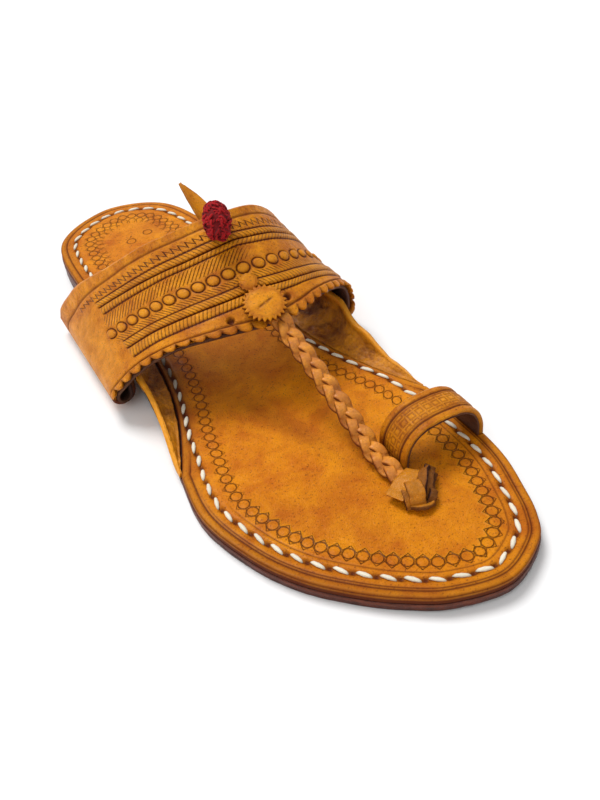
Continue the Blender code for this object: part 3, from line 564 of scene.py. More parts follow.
def footbedShape(u, v):
    table = footbedRows()
    row = np.rint(v * (len(table) - 1)).astype(int)
    inset, share, depth = table[row].T
    spot = readTable(ring, u) + readTable(inward, u) * inset[:, None]
    spot = spot + (readTable(spine, u) - spot) * share[:, None]
    along = yToAlong(spot[:, 1])
    side = np.where(u < 0.5, 1.0, -1.0)
    inEar = ease(readTable(notchHere, u) / (4.0 * mm))
    across = inset - readTable(stitchInset, u)          # from the stitch line, inwards
    onTop = (row > 3).astype(float)
    # stitch furrow with a pit at each gap between stitches
    phase = readTable(stitchPhase, u) % 1.0
    gap = np.abs((phase + 0.5) % 1.0 - 0.5) * solePiece["stitchPitch"]   # 0 in the middle of a gap
    furrow = bell(across, 1.0 * mm)
    pit = bell(gap, 1.25 * mm) * bell(across, 0.75 * mm)
    # engraved line along the edge, and a finer one inside the stitch at the toe
    toe = ease((along - 0.70) / 0.08)
    heel = 1 - ease((along - 0.20) / 0.05)
    edgeLine = bell(inset - solePiece["edgeLine"], 0.32 * mm) * (1 - inEar)
    edgeLineTwo = bell(inset - solePiece["edgeLineTwo"], 0.26 * mm) * (1 - inEar) * ease((along - 0.66) / 0.1)
    innerLine = bell(across - 2.5 * mm, 0.25 * mm) * toe
    # chain of stamps: a ring inside a diamond, side by side
    here = (readTable(chainPhase, u) % 1.0 - 0.5) * solePiece["chainPitch"]
    off = across - solePiece["chain"] + 0.2 * mm
    fromCentre = np.sqrt(here**2 + off**2)
    roof = 0.55 * mm + 2.0 * mm * (1 - np.abs(here) / (0.5 * solePiece["chainPitch"]))
    stampZone = (1 - ease((np.abs(off) - 2.9 * mm) / (0.4 * mm))) * (share == 0)
    heelZone = (1 - ease((np.abs(off - 4.1 * mm) - 2.0 * mm) / (0.2 * mm))) * heel * (share == 0)
    teeth = np.clip(1 - np.abs(off - roof - 0.35 * mm) / (0.6 * mm), 0, 1) * toe
    shape = -0.34 * furrow - 0.55 * pit - 0.26 * edgeLine - 0.16 * edgeLineTwo - 0.14 * innerLine
    shape += 0.16 * bell(fromCentre, 1.0 * mm) * (share == 0) + 0.22 * teeth
    # soft rolls of the hide, and the long press mark under the toe strap, dented and darkened partly as painted
    # shadow of the strap
    flat = np.stack([spot[:, 0], spot[:, 1], np.zeros_like(inset)], 1)
    wave = roughness3(flat, 0.032, 2)
    fine = roughness3(flat, 0.006, 2, 7.0)
    pressAndShadow = bell(spot[:, 0] + 0.0160 + 0.254 * (spot[:, 1] + 0.1217), 4.5 * mm)
    pressAndShadow *= bell(spot[:, 1] + 0.137, 24 * mm)
    shape += (0.30 * wave + 0.05 * fine) * ease((inset - 0.5 * mm) / (4 * mm)) - 0.35 * pressAndShadow
    scar = bell(0.78 * (spot[:, 0] - 0.0165) + 0.62 * (spot[:, 1] + 0.1815), 0.3 * mm)
    scar *= bell(0.62 * (spot[:, 0] - 0.0165) - 0.78 * (spot[:, 1] + 0.1815), 5.5 * mm)
    shape += -0.15 * scar
    z = insoleTop(along) - depth + shape * mm * onTop
    dark = 0.95 * pit + 0.30 * furrow * (1 - bell(across, 0.4 * mm)) + 0.80 * edgeLine + 0.60 * edgeLineTwo
    dark += 0.60 * innerLine + 0.35 * scar + 0.34 * pressAndShadow
    outerSide = np.where(u < 0.5, 0.5, 1.0)
    dark += (0.45 * ease((0.8 * mm - inset) / (0.8 * mm)) * onTop
             + (0.35 + 0.5 * ease((depth / mm - 0.6) / 0.8)) * (1 - onTop)
             + 0.28 * ease((7 * mm - inset) / (6 * mm)) * outerSide * onTop)
    shade = bell(along - 0.50, 0.09) * 0.25 + 0.12 * toe          # painted shade under the band, and a little darker towards the toe
    # painted shade along the stitch line near the band
    paintedShade = 0.30 * bell(along - 0.47, 0.10) * bell(across, 3 * mm)
    # the light on the chain's teeth is a painted highlight
    light = 0.9 * teeth + 0.35 * bell(inset - 1.0 * mm, 0.6 * mm) + 0.25 * np.clip(wave, 0, 1)
    marks = np.stack([np.clip(dark + shade, 0, 0.95), np.clip(light, 0, 1), paintedShade], 1)
    stamp = np.stack([readTable(chainPhase, u), off / mm], 1)
    zones = np.stack([stampZone, heelZone, 0.55 + 0.45 * toe, 0 * u], 1)
    return np.stack([spot[:, 0], spot[:, 1], z], 1), marks, stamp, zones


def makeFootbed():
    layPiece("footbed", footbedLeather, solePiece["gridColumns"], len(footbedRows()) - 1, footbedShape,
             ["insole"], angle=60.0)


def makeLayer(name, node, end, low, high, inset):
    # one leather layer of the sole: rings from its underside over the cut edge to its top
    count = solePiece["layerColumns"]
    line, inwards, middle = map(closeUp, soleRing(inset, False, count, end))
    rows = [(0.0, 1.0, 0.0), (1.5 * mm, 0.0, 0.0), (0.25 * mm, 0.0, 0.0), (0.0, 0.0, 0.10), (0.0, 0.0, 0.30),
            (0.05 * mm, 0.0, 0.5), (0.0, 0.0, 0.70), (0.0, 0.0, 0.90), (0.25 * mm, 0.0, 1.0),
            (1.5 * mm, 0.0, 1.0), (0.0, 1.0, 1.0)]
    table = np.array(rows)

    def shape(u, v):
        row = np.rint(v * (len(table) - 1)).astype(int)
        inset2, share, up = table[row].T
        spot = readTable(line, u) + readTable(inwards, u) * inset2[:, None]
        if end < 1.0:
            spot[:, 1] = np.maximum(spot[:, 1], alongToY(end))
        spot = spot + (readTable(middle, u) - spot) * share[:, None]
        along = yToAlong(spot[:, 1])
        bottom, top = low(along), high(along)
        z = bottom + (top - bottom) * up
        onSide = ((up > 0.05) & (up < 0.95)).astype(float)
        flat = np.stack([spot[:, 0], spot[:, 1], z * 6], 1)
        nap = roughness3(flat, 0.004, 2)
        spot = spot + readTable(inwards, u) * (np.abs(nap) * 0.16 * mm * onSide)[:, None]
        # painted shade on the underside and lower edge, painted highlight on the upper edge of the side
        mark = np.stack([0.35 * np.clip(nap, 0, 1) + 0.35 * (up < 0.2), 0.5 * np.clip(-nap, 0, 1) * onSide
                         + 0.35 * (up > 0.65) * onSide, 0 * z], 1)
        return np.stack([spot[:, 0], spot[:, 1], z], 1), mark
    layPiece(name, edgeLeather, count, len(rows) - 1, shape, [node], angle=50.0, slot="sole_edge_leather")


stitch = {"length": (5.0, 5.5), "width": (1.25, 1.5), "slant": (8, 13), "rise": (0.10, 0.20),
          "tall": 0.95 * mm, "dip": 0.50 * mm, "seed": 4}


def stitchSpot(share):
    return readTable(ring, share) + readTable(inward, share) * readTable(stitchInset, share)


def makeStitches():
    # each stitch is a fat twisted thread lying slanted in the furrow between two pits
    random.seed(stitch["seed"])
    mesh = bmesh.new()
    markLayer = mesh.verts.layers.float_color.new("toolMarksAndPaintedLight")
    steps = np.linspace(0, 1, len(ring))
    for k in range(stitchCount):
        centre = np.interp(k + 0.5, stitchPhase, steps)
        spot = stitchSpot(centre)
        ahead = stitchSpot(centre + 0.004) - stitchSpot(centre - 0.004)
        run = math.atan2(ahead[1], ahead[0])
        along = float(yToAlong(spot[1]))
        length = random.uniform(*stitch["length"]) * mm
        wide = random.uniform(*stitch["width"]) * mm
        turn = run + math.radians(random.uniform(*stitch["slant"])) * (1 if centre < 0.49 else -1.2)
        z = float(insoleTop(along)) + random.uniform(*stitch["rise"]) * mm
        made = bmesh.ops.create_uvsphere(mesh, u_segments=12, v_segments=10, radius=0.5)["verts"]
        # stitches darker around the band are painted shade, with a little random dirt
        dirtAndShade = min(0.85, 0.95 * math.exp(-((along - 0.43) / 0.075) ** 2) + random.uniform(0.0, 0.12))
        for vert in made:
            x, y, up = vert.co
            long = math.copysign(abs(2 * x) ** 0.5, x) * 0.5
            end = 2 * abs(long)
            thick = 1.0 - 0.35 * end ** 3
            ply = 1.0 + 0.10 * math.cos(2 * math.atan2(up, y) + 9.0 * long)
            vert.co = Vector((long * length, y * wide * thick * ply,
                              up * stitch["tall"] * thick * ply - stitch["dip"] * end ** 4))
            # the ends get painted shade where the thread dips into its holes
            vert[markLayer] = (min(1.0, dirtAndShade + 0.75 * end ** 7), 0, 0, 1)
        bmesh.ops.rotate(mesh, verts=made, cent=(0, 0, 0), matrix=Matrix.Rotation(turn, 3, "Z"))
        bmesh.ops.translate(mesh, verts=made, vec=(spot[0], spot[1], z))
    finishPiece("stitches", mesh, stitchThread, angle=80.0)


# Band
band = {"wall": 2.5 * mm, "skin": 1.5 * mm, "columns": 380, "rows": 120, "curl": 4.2 * mm, "rollShare": 0.055,
        "scallops": (5.5, 4.4), "bite": 2.3, "bossPitch": 5.55, "bossRow": 20.0, "dropPitch": 3.7,
        "ropeFrom": 21.0, "bossFrom": 17.5, "dropFrom": 12.0}
bandFront = smoothLine([place(*row) for row in (
    (-0.565, 0.4553, 0.137), (-0.558, 0.4615, 0.200), (-0.523, 0.4750, 0.290), (-0.477, 0.4895, 0.372),
    (-0.364, 0.5207, 0.507), (-0.218, 0.5508, 0.570), (-0.025, 0.5695, 0.566), (0.113, 0.5695, 0.560),
    (0.205, 0.5612, 0.552), (0.316, 0.5467, 0.500), (0.406, 0.5290, 0.398), (0.450, 0.5176, 0.269),
    (0.462, 0.5134, 0.148))], 401)
bandBack = smoothLine([place(*row) for row in (
    (-0.505, 0.2393, 0.140), (-0.499, 0.2434, 0.205), (-0.474, 0.2600, 0.315), (-0.430, 0.2850, 0.461),
    (-0.342, 0.3317, 0.637), (-0.243, 0.3732, 0.809), (-0.139, 0.4033, 0.915), (-0.025, 0.4210, 0.974),
    (0.073, 0.4272, 0.985), (0.204, 0.4137, 0.913), (0.314, 0.3919, 0.741), (0.390, 0.3712, 0.519),
    (0.428, 0.3535, 0.296), (0.434, 0.3483, 0.152))], 401)
# where each stamped row lies, as a share of the way from the front edge to the back one
rowsAt = np.array([0.0, 0.06, 0.17, 0.30, 0.42, 0.56, 0.70, 0.85, 1.0])
bandRows = np.array([  # nominal millimetres, then the share at each place across the foot
    (-2.4, -0.100, -0.095, -0.056, -0.035, -0.042, -0.052, -0.016, -0.010, -0.010),
    (1.2, -0.050, -0.030, 0.012, 0.020, 0.036, 0.050, 0.075, 0.088, 0.090),
    (6.0, 0.060, 0.062, 0.068, 0.100, 0.148, 0.208, 0.165, 0.128, 0.120),
    (10.0, 0.150, 0.160, 0.172, 0.203, 0.240, 0.285, 0.222, 0.205, 0.200),
    (20.0, 0.360, 0.360, 0.370, 0.412, 0.442, 0.488, 0.445, 0.435, 0.430),
    (28.8, 0.560, 0.565, 0.571, 0.605, 0.636, 0.678, 0.612, 0.585, 0.580),
    (32.0, 0.640, 0.650, 0.655, 0.677, 0.692, 0.732, 0.680, 0.665, 0.660),
    (37.5, 0.750, 0.755, 0.762, 0.800, 0.828, 0.850, 0.800, 0.790, 0.790),
    (41.0, 0.800, 0.805, 0.850, 0.905, 0.908, 0.918, 0.900, 0.890, 0.890),
    (45.0, 1.000, 1.000, 1.000, 1.000, 1.000, 1.000, 1.000, 1.000, 1.000)])


def bandShare(across, nominal):
    # share of the way back for a nominal distance, place by place across the foot
    table = np.stack([np.interp(across, rowsAt, row[1:]) for row in bandRows])
    share = np.zeros_like(across)
    for low, high, first, second in zip(bandRows, bandRows[1:], table, table[1:]):
        inside = (nominal >= low[0]) & (nominal <= high[0] + 1e-9)
        step = (nominal - low[0]) / (high[0] - low[0])
        share = np.where(inside, first + (second - first) * step, share)
    return share


def bandMiddle(across, share):
    # middle surface of the band at a place across the foot and a share of the way back
    front, back = readTable(bandFront, across), readTable(bandBack, across)
    return front + (back - front) * share[:, None]


def bandNormal(across, share):
    step = 0.004
    low, high = np.clip(across - step, 0, 1), np.clip(across + step, 0, 1)
    sideways = bandMiddle(high, share) - bandMiddle(low, share)
    backward = readTable(bandBack, across) - readTable(bandFront, across)
    return unit(np.cross(sideways, backward))


bossRun = runOf(bandMiddle(np.linspace(0, 1, 401), np.full(401, 0.44)))


def scallopPhase(run):
    # the scallops are punched closer together on the inner side
    turn = 0.54 * bossRun[-1] * 1000
    outer, inner = band["scallops"]
    return np.minimum(run, turn) / outer + np.maximum(run - turn, 0.0) / inner


def earValue(ear, share, column):
    rows = ear["rows"]
    value = np.zeros_like(share)
    for low, high in zip(rows, rows[1:]):
        step = ease((share - low[0]) / (high[0] - low[0]))
        inside = (share >= low[0]) & (share <= high[0])
        value = np.where(inside, low[column] + (high[column] - low[column]) * step, value)
    return value


def earOuterX(side, y):
    ear = ears["medial" if side > 0 else "lateral"]
    along = yToAlong(y)
    share = np.clip((along - ear["start"]) / (ear["end"] - ear["start"]), 0, 1)
    lean = earValue(ear, share, 1) * mm * earValue(ear, share, 2)
    return side * edgeX(along, side) + lean + 0.9 * mm


def bandRelief(across, nominal):
    # height in millimetres and marks of the stamping, by nominal row and length along the bosses
    run = readTable(bossRun, across) * 1000
    total = bossRun[-1] * 1000
    edge = np.zeros_like(run)
    zones = np.zeros((4, len(run)))

    def window(start, soft=1.2, stop=14.0):
        return ease((run - start) / soft) * ease((total - stop - run) / soft)
    dark = 0.85 * bell(nominal - 1.2, 0.42) + 0.8 * bell(nominal - 41.0, 0.38)
    high = -0.5 * bell(nominal - 1.2, 0.5) - 0.4 * bell(nominal - 41.0, 0.5)
    # scallops swell between the crease and their tips
    lobe = np.abs(np.sin(np.pi * scallopPhase(run)))
    high += 0.45 * ease((1.0 - nominal) / 1.2) * (lobe ** 0.6)
    dark += 0.85 * ease((1.0 - nominal) / 1.5) * (1 - lobe ** 0.5)
    # four ropes, each a ridge of slanting strands between dark lines
    ropes = window(band["ropeFrom"])
    for low, top in ((6.2, 10.0), (10.0, 13.8), (28.9, 32.0), (32.0, 35.1)):
        inside = ease((nominal - low - 0.2) / 0.6) * ease((top - 0.2 - nominal) / 0.6) * ropes
        high += inside * 0.42
        edge += inside * 0.45
        zones[0] = np.maximum(zones[0], ropes * (nominal > low - 0.7) * (nominal < top + 0.7))
        high -= 0.22 * (bell(nominal - low, 0.4) + bell(nominal - top, 0.4)) * ropes
    # slanting cuts on both sides of the bosses, leaning opposite ways
    for low, top in ((14.4, 17.4), (22.7, 28.2)):
        inside = ease((nominal - low) / 0.5) * ease((top - nominal) / 0.5) * window(band["bossFrom"] + 2)
        if low > 20.0:
            inside = inside * ease((0.60 * total - run) / 8.0)
        zones[1] = np.maximum(zones[1], inside)
        edge += 0.15 * inside
    # round bosses, each in a sunken ring
    here = (run / band["bossPitch"] % 1.0 - 0.5) * band["bossPitch"]
    radius = np.sqrt(here**2 + (nominal - band["bossRow"]) ** 2)
    ready = window(band["bossFrom"], 0.6)
    dome = np.clip(1 - (radius / 2.0) ** 2, 0, 1) ** 0.5
    high += (0.62 * dome - 0.30 * bell(radius - 2.35, 0.4)) * ready
    dark += 0.30 * bell(radius - 2.3, 0.5) * ready
    zones[3] = ready * (np.abs(nominal - band["bossRow"]) < 3.4)
    edge += 0.55 * dome * ready
    # teardrops that end in a zigzag
    here = np.abs(run / band["dropPitch"] % 1.0 - 0.5) * 2
    zones[2] = window(band["dropFrom"], 2.0, 4.0) * (nominal > 34.5) * (nominal < 40.0)
    drop = np.clip(1 - ((nominal - 38.6) / 1.9) ** 2 - (1 - here) ** 2 * 1.3, 0, 1)
    drop = drop * window(band["dropFrom"], 2.0)
    high += 0.22 * drop
    faint = bell(np.sqrt(((run / 4.4 % 1.0 - 0.5) * 4.4) ** 2 + (nominal - 43.2) ** 2) - 1.1, 0.25)
    high -= 0.10 * faint
    dark += 0.16 * faint
    return high, dark, edge, np.clip(zones, 0, 1)


def holeMarks(spots):
    # two punched holes beside the rosette
    depth = np.zeros(len(spots))
    for x, y in ((-13.7, -107.1), (7.6, -108.5)):
        away = np.hypot(spots[:, 0] - x * mm, (spots[:, 1] - y * mm) * 1.2)
        depth = np.maximum(depth, 1 - ease((away - 1.0 * mm) / (0.6 * mm)))
    return depth


def bandShape(u, v, rise, detailed=True, shortFront=0.0):
    # columns run over the outer roll, the foot and the inner roll; rise is off the middle surface
    rollShare = band["rollShare"]
    across = np.clip((u - rollShare) / (1 - 2 * rollShare), 0, 1)
    roll = np.maximum(rollShare - u, u - (1 - rollShare)) / rollShare
    roll = np.clip(roll, 0, 1)
    side = np.where(u < 0.5, -1.0, 1.0)
    nominal = np.interp(v, [0, 0.16, 0.34, 0.66, 0.86, 1.0], [-2.4 + shortFront, 3.0, 13.8, 30.0, 39.6, 45.0])
    share = bandShare(across, nominal)
    run = readTable(bossRun, across) * 1000
    if detailed:
        bite = (1 - np.abs(np.sin(np.pi * scallopPhase(run))) ** 0.55) * band["bite"]
        share = share + bite * np.clip((1.2 - nominal) / 3.6, 0, 1) / 47.0
    middle = bandMiddle(across, share)
    normal = bandNormal(across, share)
    high, dark, light, zones = bandRelief(across, nominal)
    if not detailed:
        high, dark, light = high * 0, dark * 0, light * 0
    swell = roughness3(middle, 0.020, 2, 3.0)
    tiny = roughness3(middle, 0.003, 2, 9.0)
    still = 1 - roll
    if detailed:
        hole = holeMarks(middle)
        high = high * (1 - hole) - 1.5 * hole
        # painted shade fills the two dented holes
        dark = np.maximum(dark, hole)
        high = high + 0.22 * swell + 0.05 * tiny
    lift = rise + high * mm * still
    if detailed:
        rim = ease((0.5 - (nominal + 2.4)) / 0.5) * 0.5 + ease((nominal - 44.3) / 0.7) * 0.5
        lift = lift - rim * mm * still
    spot = middle + normal * lift[:, None]
    # the lower ends roll inwards and up beside the ears
    y = middle[:, 1]
    outer = np.where(side < 0, earOuterX(-1.0, y), earOuterX(1.0, y))
    space = np.abs(middle[:, 0]) - outer - sole["clearance"] - 0.5 * band["wall"]
    radius = np.maximum(0.5 * space, 1.5 * mm)
    arc = np.pi * radius
    travel = roll * (arc + band["curl"])
    turn = np.minimum(travel / radius, np.pi)
    up = np.maximum(travel - arc, 0.0)
    dx = -side * (radius * (1 - np.cos(turn)))
    dz = -radius * np.sin(turn) + up
    out = np.stack([side * np.cos(turn), 0 * turn, -np.sin(turn)], 1)
    rolled = middle + np.stack([dx, 0 * dx, dz], 1) + out * rise
    spot = np.where((roll > 0)[:, None], rolled, spot)
    # painted highlight on the lateral end of the band, painted shade on the rolled ends, deeper on their
    # tucked-under part
    paintedLightMask = ease((20 - run) / 8) * ease((38 - nominal) / 6) * ease((nominal - 3) / 3)
    dark = dark * still + 0.55 * ease(roll / 0.4) + 0.10 * np.clip(swell, 0, 1)
    light = np.clip(light * still + 0.25 * np.clip(-swell, 0, 1) + 0.35 * paintedLightMask, 0, 1)
    paintedShade = 0.35 * ease((roll - 0.4) / 0.5)
    marks = np.stack([np.clip(dark, 0, 0.95), light, paintedShade], 1)
    if not detailed:
        return spot, marks
    return spot, marks, np.stack([run, nominal], 1), (zones * still * (1 - hole)).T


def makeBand():
    half = 0.5 * band["wall"]
    layPiece("band_leather", stampedLeather, band["columns"], band["rows"],
             lambda u, v: bandShape(u, v, half), ["upper"], wall=band["skin"], closed=False)
    layPiece("band_lining", liningLeather, 160, 30,
             lambda u, v: bandShape(u, v, half - band["skin"] - 0.05 * mm, False, 1.2),
             wall=0.95 * mm, closed=False)


# Braided strap
plait = {"width": 7.0 * mm, "thick": 1.5 * mm, "lace": 3.5 * mm, "pitch": 20.5 * mm, "steps": 230}
plaitRoute = [place(*row) for row in (
    (0.008, 0.5560, 0.600), (0.008, 0.5737, 0.588), (0.005, 0.5944, 0.525), (0.002, 0.6235, 0.478),
    (0.002, 0.6609, 0.396), (0.000, 0.7035, 0.300), (-0.003, 0.7450, 0.210), (-0.007, 0.7782, 0.156),
    (-0.009, 0.8208, 0.139))]


def makePlait():
    # three flat laces crossing over and under each other
    line = smoothLine(plaitRoute, plait["steps"])
    side, up = lineFrame(line)
    run = runOf(line)
    mesh = bmesh.new()
    for k in range(3):
        turn = 2 * np.pi * (run / plait["pitch"] + k / 3.0)
        reach = 0.5 * (plait["width"] - plait["lace"])
        across = reach * np.sin(turn)
        over = 0.75 * plait["thick"] * np.sin(2 * turn)
        path = line + side * across[:, None] + up * (over + 0.2 * mm)[:, None]
        lean = up + side * (0.30 * np.cos(2 * turn) * np.sign(np.cos(turn)))[:, None] * 0.5
        strip(mesh, path, lean, plait["lace"], plait["thick"], 0.5, 16, (0.05, 0.05, 0.0))
    finishPiece("toe_strap_plait", mesh, plaitLeather)


# Ears
def makeEars():
    for name, ear in ears.items():
        side = ear["side"]

        def shape(u, v, ear=ear, side=side):
            share = 0.015 + 0.97 * u
            along = ear["start"] + (ear["end"] - ear["start"]) * share
            root = np.maximum(notchAt(along, side) - 0.6 * mm, 0.9 * mm)
            edge = side * edgeX(along, side)
            stand = earValue(ear, share, 2)
            lean = earValue(ear, share, 1) * mm * stand
            base = outsoleTop(along) + sole["clearance"] + 0.9 * mm
            upright = edge + lean - (root + lean) * np.maximum(0.0, 1.0 - v / 0.85) ** 1.4
            flat = edge - root * (1.0 - v)
            out = flat + (upright - flat) * stand
            climb = 11.5 * mm * v**2.2 * stand
            spot = np.stack([side * out, alongToY(along), base + climb], 1)
            # slack folds run up and forward across the flap
            fold = np.sin(2 * np.pi * (share * 5.5 - v * 0.9) + 1.5 * np.sin(7 * share + 4 * v))
            fold2 = roughness3(spot, 0.0045, 4, 2.0)
            calm = np.sin(np.pi * np.clip(v, 0, 1)) ** 0.6 * stand
            push = (0.65 * fold + 0.95 * fold2) * mm * calm
            creaseShade = np.clip(-fold, 0, 1) ** 2 * calm
            spot[:, 0] -= side * push * 0.6
            spot[:, 2] += push * 0.7
            rim = ease((v - 0.90) / 0.06)
            paintedLightMask = 1 - stand
            # painted shade in the fold hollows and low on the standing flap, painted highlight on the fold
            # crests, the top rim and the flat-lying ends
            dark = np.clip(0.60 * creaseShade + 0.75 * np.clip(-fold2, 0, 1) * calm + 0.28 * stand * (1 - v), 0, 0.9)
            dark = dark * (1 - rim)
            light = np.clip(0.55 * np.clip(fold, 0, 1) ** 3 * calm + 0.9 * rim + 0.4 * paintedLightMask, 0, 1)
            # painted shade low on the flap under the band
            paintedShade = 0.22 * bell(share - 0.36, 0.10) * np.clip(1 - v, 0, 1) ** 0.5 * calm
            return spot, np.stack([dark, light, paintedShade], 1)
        layPiece(f"ear_{name}_leather", earLeather, 170, 34, shape, [f"ear_{name}"], wall=1.7 * mm,
                 closed=False, offset=0.0)


# Toe ring
toeRing = {"wall": 2.2 * mm, "width": 14.0 * mm, "height": 14.0 * mm, "outer": (0.050, 0.7834),
           "inner": (0.362, 0.7927), "square": 2.7}


def ringShape(u, v, rise, detailed):
    outer = np.array([toeRing["outer"][0] * sole["ballWidth"], alongToY(toeRing["outer"][1])])
    inner = np.array([toeRing["inner"][0] * sole["ballWidth"], alongToY(toeRing["inner"][1])])
    centre, reach = 0.5 * (outer + inner), 0.5 * (inner - outer)
    wide = np.array([-reach[1], reach[0]]) / np.linalg.norm(reach)
    base = float(insoleTop(np.array(toeRing["inner"][1]))) + sole["clearance"]
    power = 2.0 / toeRing["square"]
    grid = []
    for step in np.linspace(-0.5, 0.5, 5):
        turn = np.linspace(np.pi, 0, 161)
        across = np.sign(np.cos(turn)) * np.abs(np.cos(turn)) ** power
        up = np.maximum(np.sin(turn), 0) ** power
        xy = centre + reach * across[:, None] + wide * step * toeRing["width"]
        grid.append(np.column_stack([xy, base + toeRing["height"] * up]))
    grid = np.array(grid)
    run = runOf(grid[2])
    even = np.interp(np.linspace(0, run[-1], 161), run, np.arange(161)) / 160
    normals = gridNormals(grid)
    turned = readTable(even, u)
    spot = readGrid(grid, turned, v)
    normal = unit(readGrid(normals, turned, v))
    along = u * run[-1] * 1000
    across = (v - 0.5) * 14.0
    lines = bell(np.abs(across) - 4.3, 0.42) + 0.5 * bell(np.abs(across) - 3.3, 0.25)
    inside = ease((3.0 - np.abs(across)) / 0.5)
    # small stamped squares between the two lines
    cell = np.maximum(np.abs(along / 2.9 % 1 - 0.5) * 2.9, np.abs((across + 1.45) / 2.9 % 1 - 0.5) * 2.9)
    square = bell(cell - 0.95, 0.24) * inside
    seen = np.sin(np.pi * u) ** 0.2
    high = (-0.42 * lines - 0.20 * square + 0.10 * inside) * seen
    if not detailed:
        high = high * 0
    high = high + 0.16 * roughness3(spot, 0.007, 3, 5.0)
    edge = ease((np.abs(across) - 6.3) / 0.7)
    spot = spot + normal * (rise + (high - 0.35 * edge * detailed) * mm)[:, None]
    # painted shade at the ring's feet, where it meets the footbed
    dark = np.clip(0.95 * lines + 0.45 * square + 0.45 * (1 - seen) * 2 + 0.1, 0, 0.92)
    light = np.clip(0.6 * edge + 0.25 * inside * (1 - square), 0, 1)
    if not detailed:
        dark, light = dark * 0, light * 0
    return spot, np.stack([dark, light, 0 * dark], 1)


def makeToeRing():
    half = 0.5 * toeRing["wall"]
    layPiece("toe_ring_leather", bandLeather, 150, 52, lambda u, v: ringShape(u, v, half, True), ["toe_ring"],
             wall=1.5 * mm, closed=False)
    layPiece("toe_ring_lining", liningLeather, 70, 20,
             lambda u, v: ringShape(u, 0.03 + 0.94 * v, half - 1.55 * mm, False), wall=0.6 * mm, closed=False)


# Rosette, leaf, knot, pompom
def bandSeat(across, nominal):
    # a seat on the band: its point, sideways, backward and outward directions
    a, n = np.array([across]), np.array([nominal])
    share = bandShare(a, n)
    point = Vector(bandMiddle(a, share)[0])
    outward = Vector(bandNormal(a, share)[0])
    backward = Vector(bandMiddle(a, share + 0.05)[0]) - point
    backward = (backward - outward * backward.dot(outward)).normalized()
    sideways = backward.cross(outward).normalized()
    if sideways.x < 0:
        sideways = -sideways
    return point, sideways, backward, outward


rosette = {"across": 0.545, "nominal": 5.2, "radius": 7.7 * mm, "tooth": 1.25 * mm, "teeth": 24,
           "thick": 1.3 * mm, "crown": 0.7 * mm, "tilt": -10.0}
washer = {"across": 0.536, "nominal": 13.4, "radius": 3.4 * mm, "tooth": 0.25 * mm, "teeth": 14,
          "thick": 1.0 * mm, "crown": 0.6 * mm}


def makeDisc(name, replaced, look, centre, right, away, facing, slit):
    # a punched leather disc: round its domed top from the middle, over the toothed rim and back below
    radius, tooth, teeth = look["radius"], look["tooth"], look["teeth"]
    rows = [(0.0, 0.5), (0.1, 0.5), (0.2, 0.5), (0.3, 0.5), (0.42, 0.5), (0.54, 0.5), (0.66, 0.5), (0.76, 0.5),
            (0.85, 0.5), (0.92, 0.5), (0.97, 0.45), (1.0, 0.25), (1.0, -0.3), (0.97, -0.5), (0.5, -0.5),
            (0.0, -0.5)]
    table = np.array(rows)

    def shape(u, v):
        row = np.rint(v * (len(table) - 1)).astype(int)
        r, up = table[row].T
        turn = 2 * np.pi * u
        notch = np.abs((u * teeth) % 1.0 - 0.5) * 2
        out = r * radius - tooth * (1 - notch) * np.clip((r - 0.82) / 0.18, 0, 1)
        x, y = r * np.cos(turn), r * np.sin(turn)
        top = (up > 0.4).astype(float)
        a = x * math.cos(0.25) + y * math.sin(0.25)
        b = -x * math.sin(0.25) + y * math.cos(0.25)
        cut = bell(b + 0.05, 0.06) * ease((0.45 - np.abs(a)) / 0.1) * slit * top
        pucker = np.array([noise.noise(Vector((p * 2.3, q * 2.3, radius * 300))) for p, q in zip(x, y)])
        rise = look["crown"] * (1 - r ** 2.2) * (up > 0) + up * look["thick"] - 0.35 * mm * cut
        rise = rise + 0.22 * mm * pucker
        spot = (np.array(centre) + np.outer(np.cos(turn) * out, right) + np.outer(np.sin(turn) * out, away)
                + np.outer(rise, facing))
        # painted shade in the slit and on the underside
        dark = 0.75 * cut + 0.6 * (up < 0.3) + 0.35 * (1 - notch) * (r > 0.9)
        dark = dark + 0.35 * bell(r - 0.80, 0.05) * top
        light = 0.45 * (r < 0.72) * np.clip(pucker + 0.4, 0, 1) + 0.3 * (r > 0.88) * notch
        return spot, np.stack([np.clip(dark, 0, 0.95), light, 0 * u], 1)
    layPiece(name, bandLeather, teeth * 6, len(rows) - 1, shape, replaced, angle=60.0)


def makeRosette():
    right, away, facing = bandSeat(rosette["across"], rosette["nominal"])[1:]
    low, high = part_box("rosette")
    tilt = math.radians(rosette["tilt"])
    tilted = away * math.cos(tilt) + facing * math.sin(tilt)
    out = facing * math.cos(tilt) - away * math.sin(tilt)
    makeDisc("rosette_disc", ["rosette"], rosette, (low + high) / 2, right, tilted, out, True)
    seat, right, away, facing = bandSeat(washer["across"], washer["nominal"])
    makeDisc("rosette_washer", [], washer, seat + facing * (0.5 * band["wall"] + 0.8 * mm), right, away, facing,
             False)


leaf = {"wall": 1.1 * mm, "cup": 0.9 * mm, "ripple": 0.25 * mm,
        "widths": ([0, 0.25, 0.5, 0.75, 0.93, 1.0], [5.4, 6.2, 6.0, 4.4, 2.0, 0.5])}
leafRoute = smoothLine([place(*row) for row in (
    (0.010, 0.4465, 0.850), (0.008, 0.4185, 0.930), (0.001, 0.4008, 0.998), (-0.009, 0.3838, 1.063),
    (-0.019, 0.3673, 1.128))], 61)


